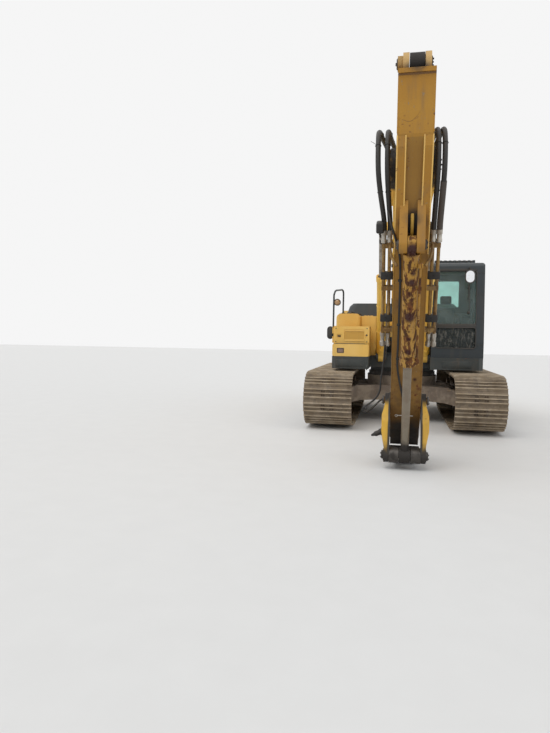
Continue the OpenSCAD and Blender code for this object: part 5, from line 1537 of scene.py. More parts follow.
        # A darker plate in the door's recess: painted shade.
        inner = rounded_loop((left + 0.004, low + 0.004), (right - 0.004, high - 0.004), 0.022, 4, 2)
        Assembly().add(plate_part(inner, 0.002), moved(at(0, face - 0.007, 0), (90, 0, 0))).finish(
            "tool_box_panel", PANEL_SHADE, "tool_box_door")
        rim = rounded_loop((left, low), (right, high), 0.025, 4, 2)
        Assembly().bead([at(x, face + 0.001, z) for x, z in rim], 0.006, 8, True).add(plate_part([
            (self.box_in - 0.02, 1.8), (self.box_in - 0.145, 1.525), (self.box_in - 0.135, 1.522),
            (self.box_in - 0.008, 1.8)], 0.004, 0.001), moved(at(0, face, 0), (90, 0, 0))).finish(
            "tool_box_panel_rim", BODY_YELLOW, "tool_box_door")

    def make_rail(self) -> None:
        """Lens and rim of the work lamp, and the clamps of the handrail."""
        place = aimed(at(-1.2535, 1.361, 2.323), (0, -1, 0))
        rim = Assembly().add(spun_part([
            (0.052, -0.004), (0.053, 0.01), (0.06, 0.013), (0.066, 0.008), (0.066, -0.02),
            (0.058, -0.045)], 32), place)
        rim.box((0.05, 0.03, 0.05), 0.006, put(-1.312, 1.325, 2.323))
        rim.finish("work_lamp_rim", PLASTIC, "upper")
        Assembly().add(spun_part([(0, 0.016), (0.025, 0.013), (0.045, 0.006), (0.053, 0.0)], 32),
                       place).finish("work_lamp_lens", AMBER, "upper")
        clamps = Assembly()
        for z in (1.735, 1.845):
            clamps.add(ring_part(0.0175, 0.01, 20, 8), put(-1.327, 1.3, z))
            clamps.bolts(0.014, [aimed(at(-1.338, 1.3, z), (-1, 0, 0))])
        clamps.bolts(0.014, [put(-1.2 + 0.026 * math.cos(a), 0.64 + 0.026 * math.sin(a),
                                 self.tank_top + 0.012) for a in (0.8, 2.4, 3.9, 5.5)])
        clamps.finish("handrail_clamps", DARK, "upper")

    def make_mirrors(self) -> None:
        """Glass and rims of the two oval mirrors."""
        glass, rims = Assembly(), Assembly()
        for x, front, z, half_w, half_h, looks_back in (
                (-1.371, 1.4, 1.74, 0.055, 0.115, True),
                (1.181, 1.26, 2.812, 0.088, 0.12, False)):
            oval = oval_loop(half_w, half_h, 0.012)
            glass.add(plate_part(oval, 0.006, 0.002),
                      moved(at(x, front - (0.042 if looks_back else 0.002), z),
                            (-90 if looks_back else 90, 0, 0)))
            if looks_back:
                rims.add(plate_part(oval, 0.014, 0.006, 2), moved(at(x, front + 0.002, z), (90, 0, 0)))
            rims.bead([at(x + a, front - 0.004, z + b) for a, b in oval_loop(half_w, half_h)],
                      0.008, 8, True)
            rims.add(spun_part([(0, 0.02), (0.022, 0.018), (0.03, 0.008), (0.032, 0)], 20),
                     aimed(at(x, front - (0.04 if looks_back else 0.03), z), (0, 1, 0)))
        glass.finish("mirror_glass", MIRROR, "upper")
        rims.finish("mirror_rims", PLASTIC, "upper")

    def make_tower_pins(self) -> None:
        """End caps and grease lines of the pins in the towers."""
        caps, lines = Assembly(), Assembly()
        for side in SIDES:
            for forward, up, out, radius in ((0.15, 1.95, 0.385, 0.075), (0.93, 1.29, 0.508, 0.055)):
                spot = at(side * out, forward, up)
                caps.add(disc_part(radius, 0.012, (0.014, 0.006, -0.012), 28), aimed(spot, (side, 0, 0)))
                caps.bolts(0.02, [aimed(spot + Vector((
                    side * 0.012, 0.6 * radius * math.cos(a), 0.6 * radius * math.sin(a))),
                    (side, 0, 0)) for a in (0.5, 2.6, 4.7)])
            lines.bead(bent([at(side * 0.372, forward, z) for forward, z in (
                (0.15, 1.83), (0.05, 1.6), (0.45, 1.42), (0.6, 1.4))], 0.05), 0.006, 8)
        caps.finish("tower_pin_caps", DECK_PAINT, "upper")
        lines.finish("tower_grease_lines", PIPE_STEEL, "upper")

    def make_machinery(self) -> None:
        """Swing drive, valve block and hoses between the towers."""
        spot = at(0.1, -0.98, self.deck_top)
        drive = Assembly().add(spun_part([
            (0, 0.44), (0.075, 0.44), (0.085, 0.42), (0.085, 0.3), (0.15, 0.29), (0.16, 0.27),
            (0.16, 0.1), (0.2, 0.09), (0.2, 0)], 32), move_to(spot))
        drive.bolts(0.02, [move_to(spot + Vector((a, -b, 0.09))) for a, b in circle(12, 0.18)])
        drive.finish("swing_drive", DECK_PAINT, "upper")
        valve, hoses = Assembly(), Assembly()
        for x in self.valve_x:
            valve.box((0.056, 0.26, 0.2), 0.006, put(x, -0.36, 1.42))
            valve.add(rod_part(0.022, 0.07, sides=12, bevel=0.004),
                      *[aimed(at(x, -0.36 + f, 1.42), (0, -f, 0)) for f in (0.13, -0.13)])
            hoses.hose([at(x * spread, forward, z) for spread, forward, z in (
                (1, -0.18, 1.42), (1, -0.05, 1.41), (1.05, 0.12, 1.36), (1.2, 0.38, 1.335),
                (1.4, 0.62, 1.332))], 0.017, 12)
        valve.finish("valve_block", IRON, "upper")
        hoses.finish("valve_hoses", RUBBER, "upper")


# Cab
class Cushion(Enum):
    """The seat's three padded pieces: centre (across, forward, up), size and lean."""

    BASE = ("seat_cushion", (SEAT_X, 0.01, 1.768), (0.4, 0.47, 0.11), 0.0)
    BACK = ("seat_back", (SEAT_X, -0.218, 2.05), (0.385, 0.1, 0.52), 9.0)
    HEAD = ("seat_headrest", (SEAT_X, -0.292, 2.47), (0.25, 0.085, 0.19), 8.0)


@dataclass
class Cab:
    """Seals, wiper, handles, seat, levers and trim of the cab."""

    left: float = 1.47
    right: float = 0.52
    front: float = 1.17
    back: float = -0.62
    top: float = 3.1
    lean: float = 0.13
    lean_from: float = 1.6003
    lean_to: float = 3.01
    pane_left: float = 0.6
    pane_right: float = 1.325
    middle: float = 0.9625
    inner_x: float = 0.995
    floor: float = 1.3703
    most_swell: float = 0.026

    def screen(self, z: float) -> float:
        """Distance of the cab's front from the swing centre at a height."""
        share = (z - self.lean_from) / (self.lean_to - self.lean_from)
        return self.front - self.lean * min(max(share, 0.0), 1.0)

    def build(self) -> None:
        """Builds the outside, then the seat and the controls."""
        self.make_seals()
        self.make_wiper()
        self.make_handles()
        self.make_roof()
        self.make_inside()
        self.make_controls()
        self.make_seat()

    def make_seals(self) -> None:
        """Rubber seals round the panes and the door."""
        seals = Assembly()
        for low, high in ((1.93, 2.94), (1.48, 1.87)):
            loop = rounded_loop((self.pane_left, low), (self.pane_right, high), 0.05, 5, 6)
            seals.bead([at(x, self.screen(z) + 0.001, z) for x, z in loop], 0.011, 8, True)
        loop = rounded_loop((0.615, 2.325), (1.18, 2.905), 0.05)
        seals.bead([at(x, self.back - 0.001, z) for x, z in loop], 0.011, 8, True)
        side = ((self.back + 0.12, 2.0), (self.front - 0.22, 2.0),
                (self.front - 0.3, 2.91), (self.back + 0.12, 2.91))
        rear = ((self.back + 0.11, 2.05), (-0.13, 2.05), (-0.13, 2.91), (self.back + 0.11, 2.91))
        for x, pane in ((self.right - 0.001, side), (self.left + 0.001, rear)):
            seals.bead([at(x, f, z) for f, z in pane], 0.01, 8, True)
        seals.finish("window_seals", PLASTIC, "upper")
        pane = ((0.022, 1.982), (0.878, 1.982), (0.878, 2.036), (0.795, 2.868), (0.022, 2.868))
        Assembly().bead([at(self.left + 0.001, f, z) for f, z in pane], 0.01, 8, True).finish(
            "door_window_seal", PLASTIC, "cab_door")

    def make_wiper(self) -> None:
        """Wiper with its motor cap, and the monitor behind the screen."""
        wiper = Assembly()
        wiper.hose([at(1.19, self.screen(z) + out, z) for z, out in
                    ((2.155, 0.02), (2.2, 0.036), (2.42, 0.034), (2.66, 0.028))], 0.007, 8)
        wiper.hose([at(1.168 + 0.006 * k, self.screen(z) + 0.012, z)
                    for k, z in enumerate((2.36, 2.52, 2.68, 2.84))], 0.009, 8)
        wiper.add(spun_part([(0, 0.028), (0.02, 0.026), (0.028, 0.014), (0.03, 0)], 20),
                  aimed(at(1.19, self.screen(2.15) - 0.002, 2.15), (0, -1, 0.09)))
        wiper.box((0.03, 0.02, 0.06), 0.006, put(1.176, self.screen(2.62) + 0.02, 2.62))
        wiper.finish("wiper", PLASTIC, "upper")
        monitor = Assembly()
        monitor.box((0.128, 0.05, 0.185), 0.012, moved(at(1.2, 0.905, 2.7), (8, 0, -20)))
        monitor.add(bar(at(1.225, 0.86, 2.6), at(1.3, 0.86, 2.3), 0.014))
        monitor.box((0.1, 0.05, 0.1), 0.01, put(1.215, 0.91, 2.46))
        monitor.finish("monitor", PLASTIC, "upper")

    def make_handles(self) -> None:
        """Grab rail at the cab's front, and the door's handle, lock, pressing and rail."""
        x = self.left - 0.075
        Assembly().bead(bent([at(x, forward, z) for forward, z in (
            (1.105, 1.62), (0.985, 1.66), (0.905, 2.5), (1.01, 2.55))], 0.045), 0.0125, 12).finish(
            "cab_grab_rail", BEARING, "upper")
        door = Assembly().box((0.016, 0.15, 0.062), 0.01, put(x + 0.006, 0.85, 1.76))
        door.box((0.02, 0.115, 0.02), 0.008, put(x + 0.026, 0.84, 1.765))
        door.add(rod_part(0.013, 0.01, sides=16, bevel=0.003), aimed(at(x + 0.012, 0.9, 1.725), (1, 0, 0)))
        loop = rounded_loop((0.03, 1.45), (0.86, 1.86), 0.06, 4, 2)
        door.bead([at(x, f, z) for f, z in loop], 0.0055, closed=True)
        door.bead(bent([at(x + out, forward, 1.92) for out, forward in (
            (-0.02, 0.12), (0.045, 0.12), (0.045, 0.6), (-0.02, 0.6))], 0.035), 0.011, 12)
        door.finish("door_handle_and_rail", PLASTIC, "cab_door")

    def make_roof(self) -> None:
        """Roof vent, roof edges and the dark bars round the front windows."""
        pitch = (0.752 - 0.048) / 8
        Assembly().box((0.034, 1.146, 0.034), 0.004, *[
            put(0.565 + 0.024 + pitch * (k + 0.5), 0.205, 3.149) for k in range(8)]).finish(
            "roof_vent_slats", PLASTIC, "upper")
        trim = Assembly()
        front = self.front - self.lean - 0.045
        for x in (self.right + 0.06, self.left - 0.06):
            trim.add(bar(at(x, self.back + 0.1, self.top - 0.004), at(x, front - 0.06, self.top - 0.004),
                         0.008, 8))
        trim.bolts(0.018, [put(x, f, self.top + 0.03) for x in (0.62, 1.262) for f in (-0.33, 0.2, 0.74)])
        trim.finish("roof_trim", DARK, "upper")
        bars = Assembly()
        bars.box((0.735, 0.02, 0.05), 0.008, put(self.middle, self.screen(1.9) + 0.002, 1.9))
        bars.box((0.735, 0.016, 0.03), 0.006, put(self.middle, self.screen(2.957) + 0.006, 2.96))
        bars.bolts(0.016, [aimed(at(x, self.screen(z) + 0.008, z), (0, -1, 0.09))
                           for x in (0.56, 1.365, 1.435) for z in (1.55, 2.05, 2.5, 2.9)])
        bars.finish("screen_bars", PLASTIC, "upper")

    def make_inside(self) -> None:
        """Floor mat, trim panels, roof lining and the shelf behind the seat."""
        mat = Assembly().box((0.8, 1.58, 0.014), 0.005, put(self.inner_x, 0.28, self.floor + 0.007))
        mat.box((0.74, 0.01, 0.006), 0.002, *[
            put(self.inner_x, 0.42 + 0.035 * k, self.floor + 0.016) for k in range(17)], segments=1)
        mat.finish("floor_mat", RUBBER, "upper")
        lining = Assembly()
        for size, bevel, place in (
                ((0.82, 1.5, 0.02), 0.008, (self.inner_x, 0.23, 3.03)),
                ((0.02, 0.5, 0.58), 0.008, (1.402, -0.33, 1.7)),
                ((0.02, 1.5, 0.56), 0.008, (0.588, 0.25, 1.68)),
                ((0.8, 0.2, 0.05), 0.015, (self.inner_x, -0.455, 2.17)),
                ((0.34, 0.12, 0.26), 0.02, (1.22, -0.49, 1.98))):
            lining.box(size, bevel, put(*place))
        lining.finish("cab_lining", LINING, "upper")

    def make_controls(self) -> None:
        """Joysticks with boots, travel levers with grips, pedals and switches."""
        grips = Assembly()
        stick = [(0, 0.205), (0.018, 0.2), (0.027, 0.18), (0.024, 0.13), (0.019, 0.1),
                 (0.021, 0.08), (0.026, 0.07), (0.034, 0.05), (0.03, 0.038), (0.042, 0.026),
                 (0.038, 0.014), (0.052, 0.0)]
        for side in SIDES:
            x, lever = SEAT_X + side * 0.24, SEAT_X + side * 0.09
            grips.add(spun_part(stick, 20), moved(at(x, 0.28, 1.925), (6, 0, 0)))
            grips.box((0.108, 0.5, 0.022), 0.009, put(x, 0.11, 1.926))
            grips.box((0.074, 0.24, 0.045), 0.018, put(x, 0.0, 1.962))
            grips.box((0.014, 0.014, 0.012), 0.003, *[
                put(x + 0.028 * a, 0.17 + 0.024 * b, 1.939) for a in (-1, 0, 1) for b in (-1, 0, 1)],
                segments=1)
            grips.add(spun_part([(0, 0.13), (0.017, 0.125), (0.021, 0.1), (0.017, 0.05), (0.02, 0.0),
                                 (0.0, -0.004)], 16), moved(at(lever, 0.853, 1.935), (8, 0, 0)))
            grips.add(spun_part([(0.052, 0.0), (0.044, 0.02), (0.048, 0.03), (0.036, 0.05),
                                 (0.04, 0.06), (0.02, 0.085), (0.014, 0.09)], 20),
                      put(lever, 0.765, self.floor + 0.012))
            grips.box((0.094, 0.165, 0.014), 0.004, moved(at(lever, 0.875, self.floor + 0.052), (-14, 0, 0)))
            grips.box((0.088, 0.008, 0.008), 0.002, *[
                moved(at(lever, 0.825 + 0.03 * k, self.floor + 0.049 + 0.0075 * k), (-14, 0, 0))
                for k in range(5)], segments=1)
        grips.finish("controls", PLASTIC, "upper")

    def make_seat(self) -> None:
        """Suspension box, headrest bars and three padded cushions for the CAD seat."""
        base = Assembly()
        base.box((0.34, 0.36, 0.04), 0.01, put(SEAT_X, 0.0, 1.395))
        base.box((0.34, 0.36, 0.035), 0.01, put(SEAT_X, 0.0, 1.692))
        for k in range(7):
            grow = 0.016 * (k % 2)
            base.box((0.315 + grow, 0.335 + grow, 0.036), 0.012, put(SEAT_X, 0.0, 1.432 + 0.036 * k))
        for side in SIDES:
            x = SEAT_X + 0.055 * side
            base.add(bar(at(x, -0.272, 2.29), at(x, -0.288, 2.4), 0.007, 10))
        base.finish("seat_base", PLASTIC, "upper", ("cab_seat",))
        for cushion in Cushion:
            self.pad(*cushion.value)

    def pad(self, name: str, centre: Point, size: Point, lean: float) -> None:
        """Makes one crowned cushion by cloth pressure and sews a seam round it.

        Args:
            name: Name of the piece.
            centre: Middle of the cushion, as (across, forward, up).
            size: Its size across, forward and up before it swells.
            lean: Angle that its top leans back, in degrees.
        """
        inner = tuple(length - 0.022 for length in size)
        place = moved(at(*centre), (-lean, 0, 0))
        shape = box_part(inner, 0.03, 4)
        mesh = bpy.data.meshes.new(name)
        shape.to_mesh(mesh)
        shape.free()
        piece = bpy.data.objects.new(name, mesh)
        bpy.context.scene.collection.objects.link(piece)
        self.swell(piece)
        mesh = piece.data
        mesh.transform(place)
        mesh.polygons.foreach_set("use_smooth", [True] * len(mesh.polygons))
        mesh.materials.clear()
        mesh.materials.append(CLOTH.material())
        smooth = piece.modifiers.new("smooth", "SUBSURF")
        smooth.levels = smooth.render_levels = 1
        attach(piece, "upper")
        log.info("%s: padded, %d faces", name, len(mesh.polygons))
        welt = Assembly()
        flat = size.index(min(size))
        a, b = [axis for axis in range(3) if axis != flat]
        half_a, half_b = inner[a] / 2 - 0.004, inner[b] / 2 - 0.004
        for face in SIDES:
            points = []
            for u, v in rounded_loop((-half_a, -half_b), (half_a, half_b), 0.028, 4, 3):
                point = Vector((0, 0, 0))
                point[a], point[b], point[flat] = u, v, face * (inner[flat] / 2 - 0.008)
                points.append(place @ point)
            welt.bead(points, 0.0045, closed=True)
        welt.finish(f"{name}_welt", PLASTIC, "upper")

    @staticmethod
    def settled(piece: bpy.types.Object) -> bpy.types.Mesh:
        """Applies a piece's modifiers and gives it the mesh that they make.

        Args:
            piece: Object with modifiers.

        Returns:
            The new mesh.
        """
        evaluated = piece.evaluated_get(bpy.context.evaluated_depsgraph_get())
        mesh = bpy.data.meshes.new_from_object(evaluated)
        piece.modifiers.clear()
        piece.data = mesh
        return mesh

    def swell(self, piece: bpy.types.Object) -> None:
        """Remeshes a cushion, blows it up as cloth and caps how far each point moves.

        Args:
            piece: The cushion.
        """
        remesh = piece.modifiers.new("remesh", "REMESH")
        remesh.mode, remesh.voxel_size = "VOXEL", 0.01
        before = [vert.co.copy() for vert in self.settled(piece).vertices]
        cloth = piece.modifiers.new("swell", "CLOTH")
        cloth.settings.use_pressure = True
        cloth.settings.uniform_pressure_force = 4.0
        cloth.settings.effector_weights.gravity = 0.0
        cloth.settings.quality = 5
        for step in range(1, 21):
            bpy.context.scene.frame_set(step)
        for vert, start in zip(self.settled(piece).vertices, before):
            push = vert.co - start
            if push.length > self.most_swell:
                vert.co = start + push.normalized() * self.most_swell
        bpy.context.scene.frame_set(1)


# Front equipment
def pin_cap(assembly: Assembly, spot: Vector, side: int, radius: float, bolts: int = 3) -> None:
    """Adds a bolted end cap that faces out from a pin's end.

    Args:
        assembly: The assembly that takes the cap.
        spot: Middle of the pin's end.
        side: 1 for the cab's side, -1 for the other.
        radius: Radius of the cap.
        bolts: Number of bolts in it.
    """
    assembly.add(disc_part(radius, 0.01, (0.012, 0.005, -0.01), 28), aimed(spot, (side, 0, 0)))
    assembly.bolts(0.018, [aimed(spot + Vector((side * 0.011, a, b)), (side, 0, 0))
                           for a, b in circle(bolts, 0.58 * radius, 0.2)])


@dataclass
class Ram:
    """Fittings of one hydraulic ram: gland bolts, wiper, feed pipes, bands and ports."""

    name: str
    line: Limb
    barrel_body: str
    barrel: float
    diameter: float
    rod: float
    paint: Finish
    offsets: tuple[float, ...] = (0.0,)
    pipe_x: float = 0.0
    pipe_rise: float = 0.11
    bands: Pair = (0.34, 0.66)

    def build(self) -> None:
        """Builds the gland, the feed pipe and the ports on each barrel."""
        gland, pipes, wipers = Assembly(), Assembly(), Assembly()
        lip, lift = self.rod / 2 + 0.002, self.pipe_rise
        for x in self.offsets:
            ring = self.line.level(x, self.barrel, 0) @ turned(90)
            gland.bolts(0.02, [ring @ move_to((a, b, 0.0))
                                for a, b in circle(8, self.diameter / 2 - 0.003, 0.5)])
            wipers.add(spun_part([(lip, 0.0), (lip, 0.006), (lip + 0.008, 0.008), (lip + 0.015, 0.0)],
                                 28), ring)
            gland.add(ring_part(self.diameter / 2 + 0.001, 0.012, 32, 8), *[
                self.line.level(x, share * self.barrel, 0) @ turned(90) for share in self.bands])
            sway = x + math.copysign(self.pipe_x, x if x else 1)
            pipes.bead(bent([self.line.to(sway, along, lift * share) for along, share in (
                (0.22, 0.95), (0.3, 1.05), (self.barrel - 0.14, 1.05), (self.barrel - 0.055, 0.95))],
                0.04), 0.0125, 10)
            gland.box((0.055, 0.055, 0.045), 0.006, *[
                self.line.level(sway, along, lift * 0.99) for along in (0.22, self.barrel - 0.05)])
            gland.box((0.04, 0.045, 0.03), 0.005, *[
                self.line.level(sway, share * self.barrel, lift) for share in self.bands])
        gland.finish(f"{self.name}_fittings", self.paint, self.barrel_body)
        pipes.finish(f"{self.name}_feed_pipe", self.paint, self.barrel_body)
        wipers.finish(f"{self.name}_wiper", RUBBER, self.barrel_body)


@dataclass
class FrontEquipment:
    """Pins, seams, rams, pipes and linkage fittings of the boom and arm."""

    boom_half: float = 0.205
    arm_half: float = 0.183
    boom_len: float = 6.02
    bend_centre: Pair = (2.7861, -0.6918)
    bend_top: float = 1.885
    bend_under: float = 1.115
    link_pin: Pair = (2.9, 0.12)
    recess_half: float = 0.088
    rams: tuple[Ram, ...] = (
        Ram("boom_ram", between(BOOM_RAM_ENDS), "boom_barrels", 1.8, 0.165, 0.095, YELLOW,
            (-BOOM_RAM_X, BOOM_RAM_X), 0.0, -0.098),
        Ram("arm_ram", between(ARM_RAM_ENDS), "arm_barrel", 2.06, 0.19, 0.11, YELLOW,
            (0.0,), 0.045, 0.105),
        Ram("bucket_ram", between(((6.1715, 2.65919), LINK_EYE)), "bucket_barrel", 1.41, 0.17,
            0.1, RAM_RUST_AND_SHADE, (0.0,), 0.1, 0.045))

    def build(self) -> None:
        """Builds the boom's, arm's and linkage's fittings and the rams."""
        self.make_boom_pins()
        self.make_boom_seams()
        self.make_boom_pipes()
        self.make_arm_pins()
        self.make_arm_seams()
        self.make_arm_marks()
        self.make_arm_lines()
        self.make_linkage()
        self.make_loose_ends()
        for ram in self.rams:
            ram.build()

    def bend_points(self, radius: float, steps: int = 8) -> list[Pair]:
        """Points (along, rise) round the boom's bend at a distance from its centre.

        Args:
            radius: Distance from the bend's centre.
            steps: Number of steps.

        Returns:
            The points.
        """
        along, rise = self.bend_centre
        turns = [math.radians(BOOM_BACK_SLOPE + (BOOM_FRONT_SLOPE - BOOM_BACK_SLOPE) * k / steps)
                 for k in range(steps + 1)]
        return [(along - radius * math.sin(a), rise + radius * math.cos(a)) for a in turns]

    def make_boom_pins(self) -> None:
        """Caps on the boom's pins, dark blocks of painted shade at the nose, and plugs in its sides."""
        caps, dark, plugs = Assembly(), Assembly(), Assembly()
        for side in SIDES:
            pin_cap(dark, BOOM.to(side * 0.279, self.boom_len, 0), side, 0.085, 4)
            pin_cap(caps, BOOM.to(side * 0.165, 3.08, 1.41), side, 0.06)
            # Dark blocks beside the boom's nose: painted shade on the nose ears.
            dark.box((0.03, 0.06, 0.12), 0.006, BOOM.level(side * 0.262, self.boom_len - 0.15, 0.0))
        caps.finish("boom_pin_caps", YELLOW, "boom")
        dark.finish("nose_caps_and_shade_blocks", GREASY, "boom")
        for along, back, slope in ((1.2, 0.0, BOOM_BACK_SLOPE), (2.0, 0.0, BOOM_BACK_SLOPE),
                                   (3.6, self.boom_len, BOOM_FRONT_SLOPE),
                                   (4.4, self.boom_len, BOOM_FRONT_SLOPE)):
            rise = (along - back) * math.tan(math.radians(slope))
            plugs.add(disc_part(0.036, 0.006, (0.008, 0.003, -0.004), 20), *[
                aimed(BOOM.to(side * (self.boom_half + 0.001), along, rise), (side, 0, 0))
                for side in SIDES])
        plugs.finish("boom_side_plugs", YELLOW, "boom")

    def make_boom_seams(self) -> None:
        """Weld beads along the boom's flanges and round its bosses."""
        seams = Assembly()
        half = 0.018
        for side in SIDES:
            x = side * (self.boom_half + 0.001)
            for start, radius, drop in (((-0.02, 0.145), self.bend_top - half, 0.575),
                                        ((0.06, -0.14), self.bend_under + half, 0.33)):
                bend = self.bend_points(radius)
                end = (bend[-1][0] + 1.7, bend[-1][1] - drop)
                seams.bead([BOOM.to(x, *q) for q in (start, *bend, end)], 0.006)
            seams.add(ring_part(0.112, 0.012, 32, 6), aimed(BOOM.to(x, 2.7, 0.85), (side, 0, 0)))
            seams.add(ring_part(0.172, 0.012, 40, 6), aimed(BOOM.to(x, 0, 0), (side, 0, 0)))
        seams.finish("boom_seams", YELLOW, "boom")

    def make_boom_pipes(self) -> None:
        """Pipes over the back leg and the bend, joined to the CAD pipes, with clamps."""
        pipes, clamps, bolts = Assembly(), Assembly(), Assembly()
        rise = BOOM_PIPE_RISE
        bend = self.bend_points(self.bend_top + rise)
        for x in BOOM_PIPES_X:
            wide = math.copysign(0.222 if abs(x) < 0.15 else 0.178, x)
            pipes.bead([*[BOOM.to(wide, *q) for q in ((0.52, 0.333 + rise), *bend)],
                        BOOM_TOP.to(wide, 0.15, rise), BOOM_TOP.to(x, 0.235, rise),
                        BOOM_TOP.to(x, 0.256, rise)], 0.018, 12)
        clamps.box((0.11, 0.055, 0.06), 0.008, *[
            BOOM.level(side * 0.2, along, up + rise) @ turned(BOOM_BACK_SLOPE)
            for along, up in ((0.85, 0.44), (1.5, 0.645), (2.1, 0.834)) for side in SIDES])
        pipes.finish("boom_back_pipes", YELLOW, "boom")
        clamps.finish("boom_back_clamps", DARK, "boom")
        bolts.bolts(0.018, [BOOM_TOP.level(side * 0.145 + a, along, 0.055)
                            for along in (0.325, 1.025, 1.725) for side in SIDES
                            for a in (-0.042, 0.0, 0.042)])
        bolts.finish("boom_clamp_bolts", GREASY, "boom")

    def make_arm_pins(self) -> None:
        """Caps on the arm's pins, and seals at the link pin and the empty bucket bore."""
        caps, rings = Assembly(), Assembly()
        for side in SIDES:
            pin_cap(caps, ARM.to(side * 0.281, *self.link_pin), side, 0.058)
            pin_cap(caps, ARM.to(side * 0.147, 0.74, 0.557), side, 0.056)
            rings.add(ring_part(0.062, 0.02, 28, 8), aimed(ARM.to(side * 0.184, 3.46, 0), (side, 0, 0)))
            rings.add(ring_part(0.1, 0.014, 32, 8),
                      aimed(ARM.to(side * 0.196, *self.link_pin), (side, 0, 0)))
        pin_cap(caps, ARM.to(0.142, -1.01, 0.06), 1, 0.06)
        pin_cap(caps, ARM.to(-0.195, -1.01, 0.06), -1, 0.055, 2)
        caps.finish("arm_pin_caps", GREASY, "arm")
        rings.finish("arm_bore_seals", GREASY, "arm")

    def make_arm_seams(self) -> None:
        """Weld beads along the arm's edges and the worn edges of its ribs."""
        seams, worn = Assembly(), Assembly()
        front = ((0.9, 0.366), (2.7, 0.312), (3.1, 0.245), (3.35, 0.156))
        back = ((-0.5, -0.14), (-0.18, -0.33), (0.15, -0.38), (0.6, -0.35), (2.51, -0.19), (3.26, -0.165))
        for side in SIDES:
            for line in (front, back, ((-0.925, 0.236), (-0.375, 0.398))):
                seams.bead([ARM.to(side * (self.arm_half - 0.002), *q) for q in line], 0.007)
            seams.add(ring_part(0.201, 0.012, 40, 6), aimed(ARM.to(side * 0.1835, 0, 0), (side, 0, 0)))
            for edge in (0.094, 0.181):
                worn.bead([ARM.to(side * edge, *q) for q in (
                    (-0.355, 0.399), (-0.25, 0.434), (0.52, 0.424), (0.895, 0.363))], 0.0075)
        seams.finish("arm_seams", ARM_SHADED_PAINT, "arm")
        worn.finish("arm_worn_rib_edges", WORN_EDGE, "arm")

    def make_arm_marks(self) -> None:
        """Middle rib, a darker plate of painted shade on the recess floor of the arm's front, and the
        scratches on its lip.
        """
        Assembly().add(plate_part([
            (0.44, 0.38), (0.74, 0.372), (0.74, 0.4), (0.62, 0.436), (0.5, 0.42)],
            0.034, 0.004), ARM.side(0.017)).finish("arm_middle_rib", YELLOW, "arm")
        # A darker plate on the floor of the recess between the ribs: painted shade.
        Assembly().add(plate_part([
            (-0.335, 0.397), (0.43, 0.3778), (0.43, 0.3802), (-0.335, 0.3994)],
            2 * self.recess_half), ARM.side(self.recess_half)).finish(
            "arm_recess_shade_plate", RECESS_SHADE_PAINT, "arm")
        marks = Assembly().box((0.376, 0.05, 0.01), 0.003, ARM.level(0, -0.905, 0.2425) @ turned(16.4))
        for line in (((0.007, -0.765), (0.075, -0.7), (0.16, -0.624)),
                     ((-0.136, -0.5), (-0.054, -0.482), (0.007, -0.526), (0.068, -0.606)),
                     ((0.105, -0.84), (0.14, -0.827))):
            marks.hose([ARM.to(x, u, 0.2362 + (u + 0.925) * 0.2945) for x, u in line], 0.0028, 6)
        marks.finish("arm_scratches", SCRATCH, "arm")

    def make_arm_lines(self) -> None:
        """Rubber clamps, shut-off valves and cross pipes of the arm's steel pipes."""
        clamps, valves, cross, grease = Assembly(), Assembly(), Assembly(), Assembly()
        rise = ARM_PIPE_RISE
        for along in (1.175, 1.7):
            for side in SIDES:
                clamps.box((0.142, 0.09, 0.07), 0.01, ARM.level(side * 0.262, along, rise))
                clamps.bolts(0.02, [ARM.level(side * 0.27, along, rise + 0.035)])
        clamps.box((0.088, 0.12, 0.15), 0.02, ARM.level(-0.345, 0.61, rise + 0.02), segments=3)
        clamps.finish("arm_pipe_clamps", RUBBER, "arm")
        valve = [(0.02, -0.01), (0.03, -0.01), (0.03, 0.035), (0.024, 0.04), (0.024, 0.1),
                 (0.032, 0.105), (0.032, 0.15), (0.02, 0.165), (0, 0.165)]
        for k, x in enumerate(ARM_PIPES_X):
            valves.add(spun_part(valve, 6 if k % 2 else 20), ARM.level(x, 1.905, rise) @ turned(90))
            valves.add(rod_part(0.01, 0.055, sides=10), ARM.level(x, 1.98, rise + 0.02))
            valves.box((0.014, 0.075, 0.01), 0.003, ARM.level(x, 1.995, rise + 0.078))
        valves.finish("arm_pipe_valves", PIPE_STEEL, "arm")
        for side in SIDES:
            first = side * 0.238
            cross.bead(bent([
                ARM.to(first, 0.8, rise + 0.022), ARM.to(first * 0.96, 0.85, rise + 0.12),
                ARM.to(side * 0.205, 0.93, 0.44), ARM.to(side * 0.15, 0.985, 0.52)], 0.05),
                0.0165, 12)
            cross.bolts(0.04, [aimed(ARM.to(first, 0.8, rise + 0.02), ARM.axes()[1])])
            grease.bead(bent([ARM.to(side * 0.186, *q) for q in (
                (0.3, 0.1), (1.2, 0.02), (2.45, 0.03), (2.62, -0.04))], 0.08), 0.005, 8)
        cross.finish("bucket_ram_cross_pipes", PIPE_PAINT, "arm")
        grease.finish("arm_grease_lines", RUSTY_PIPE, "arm")

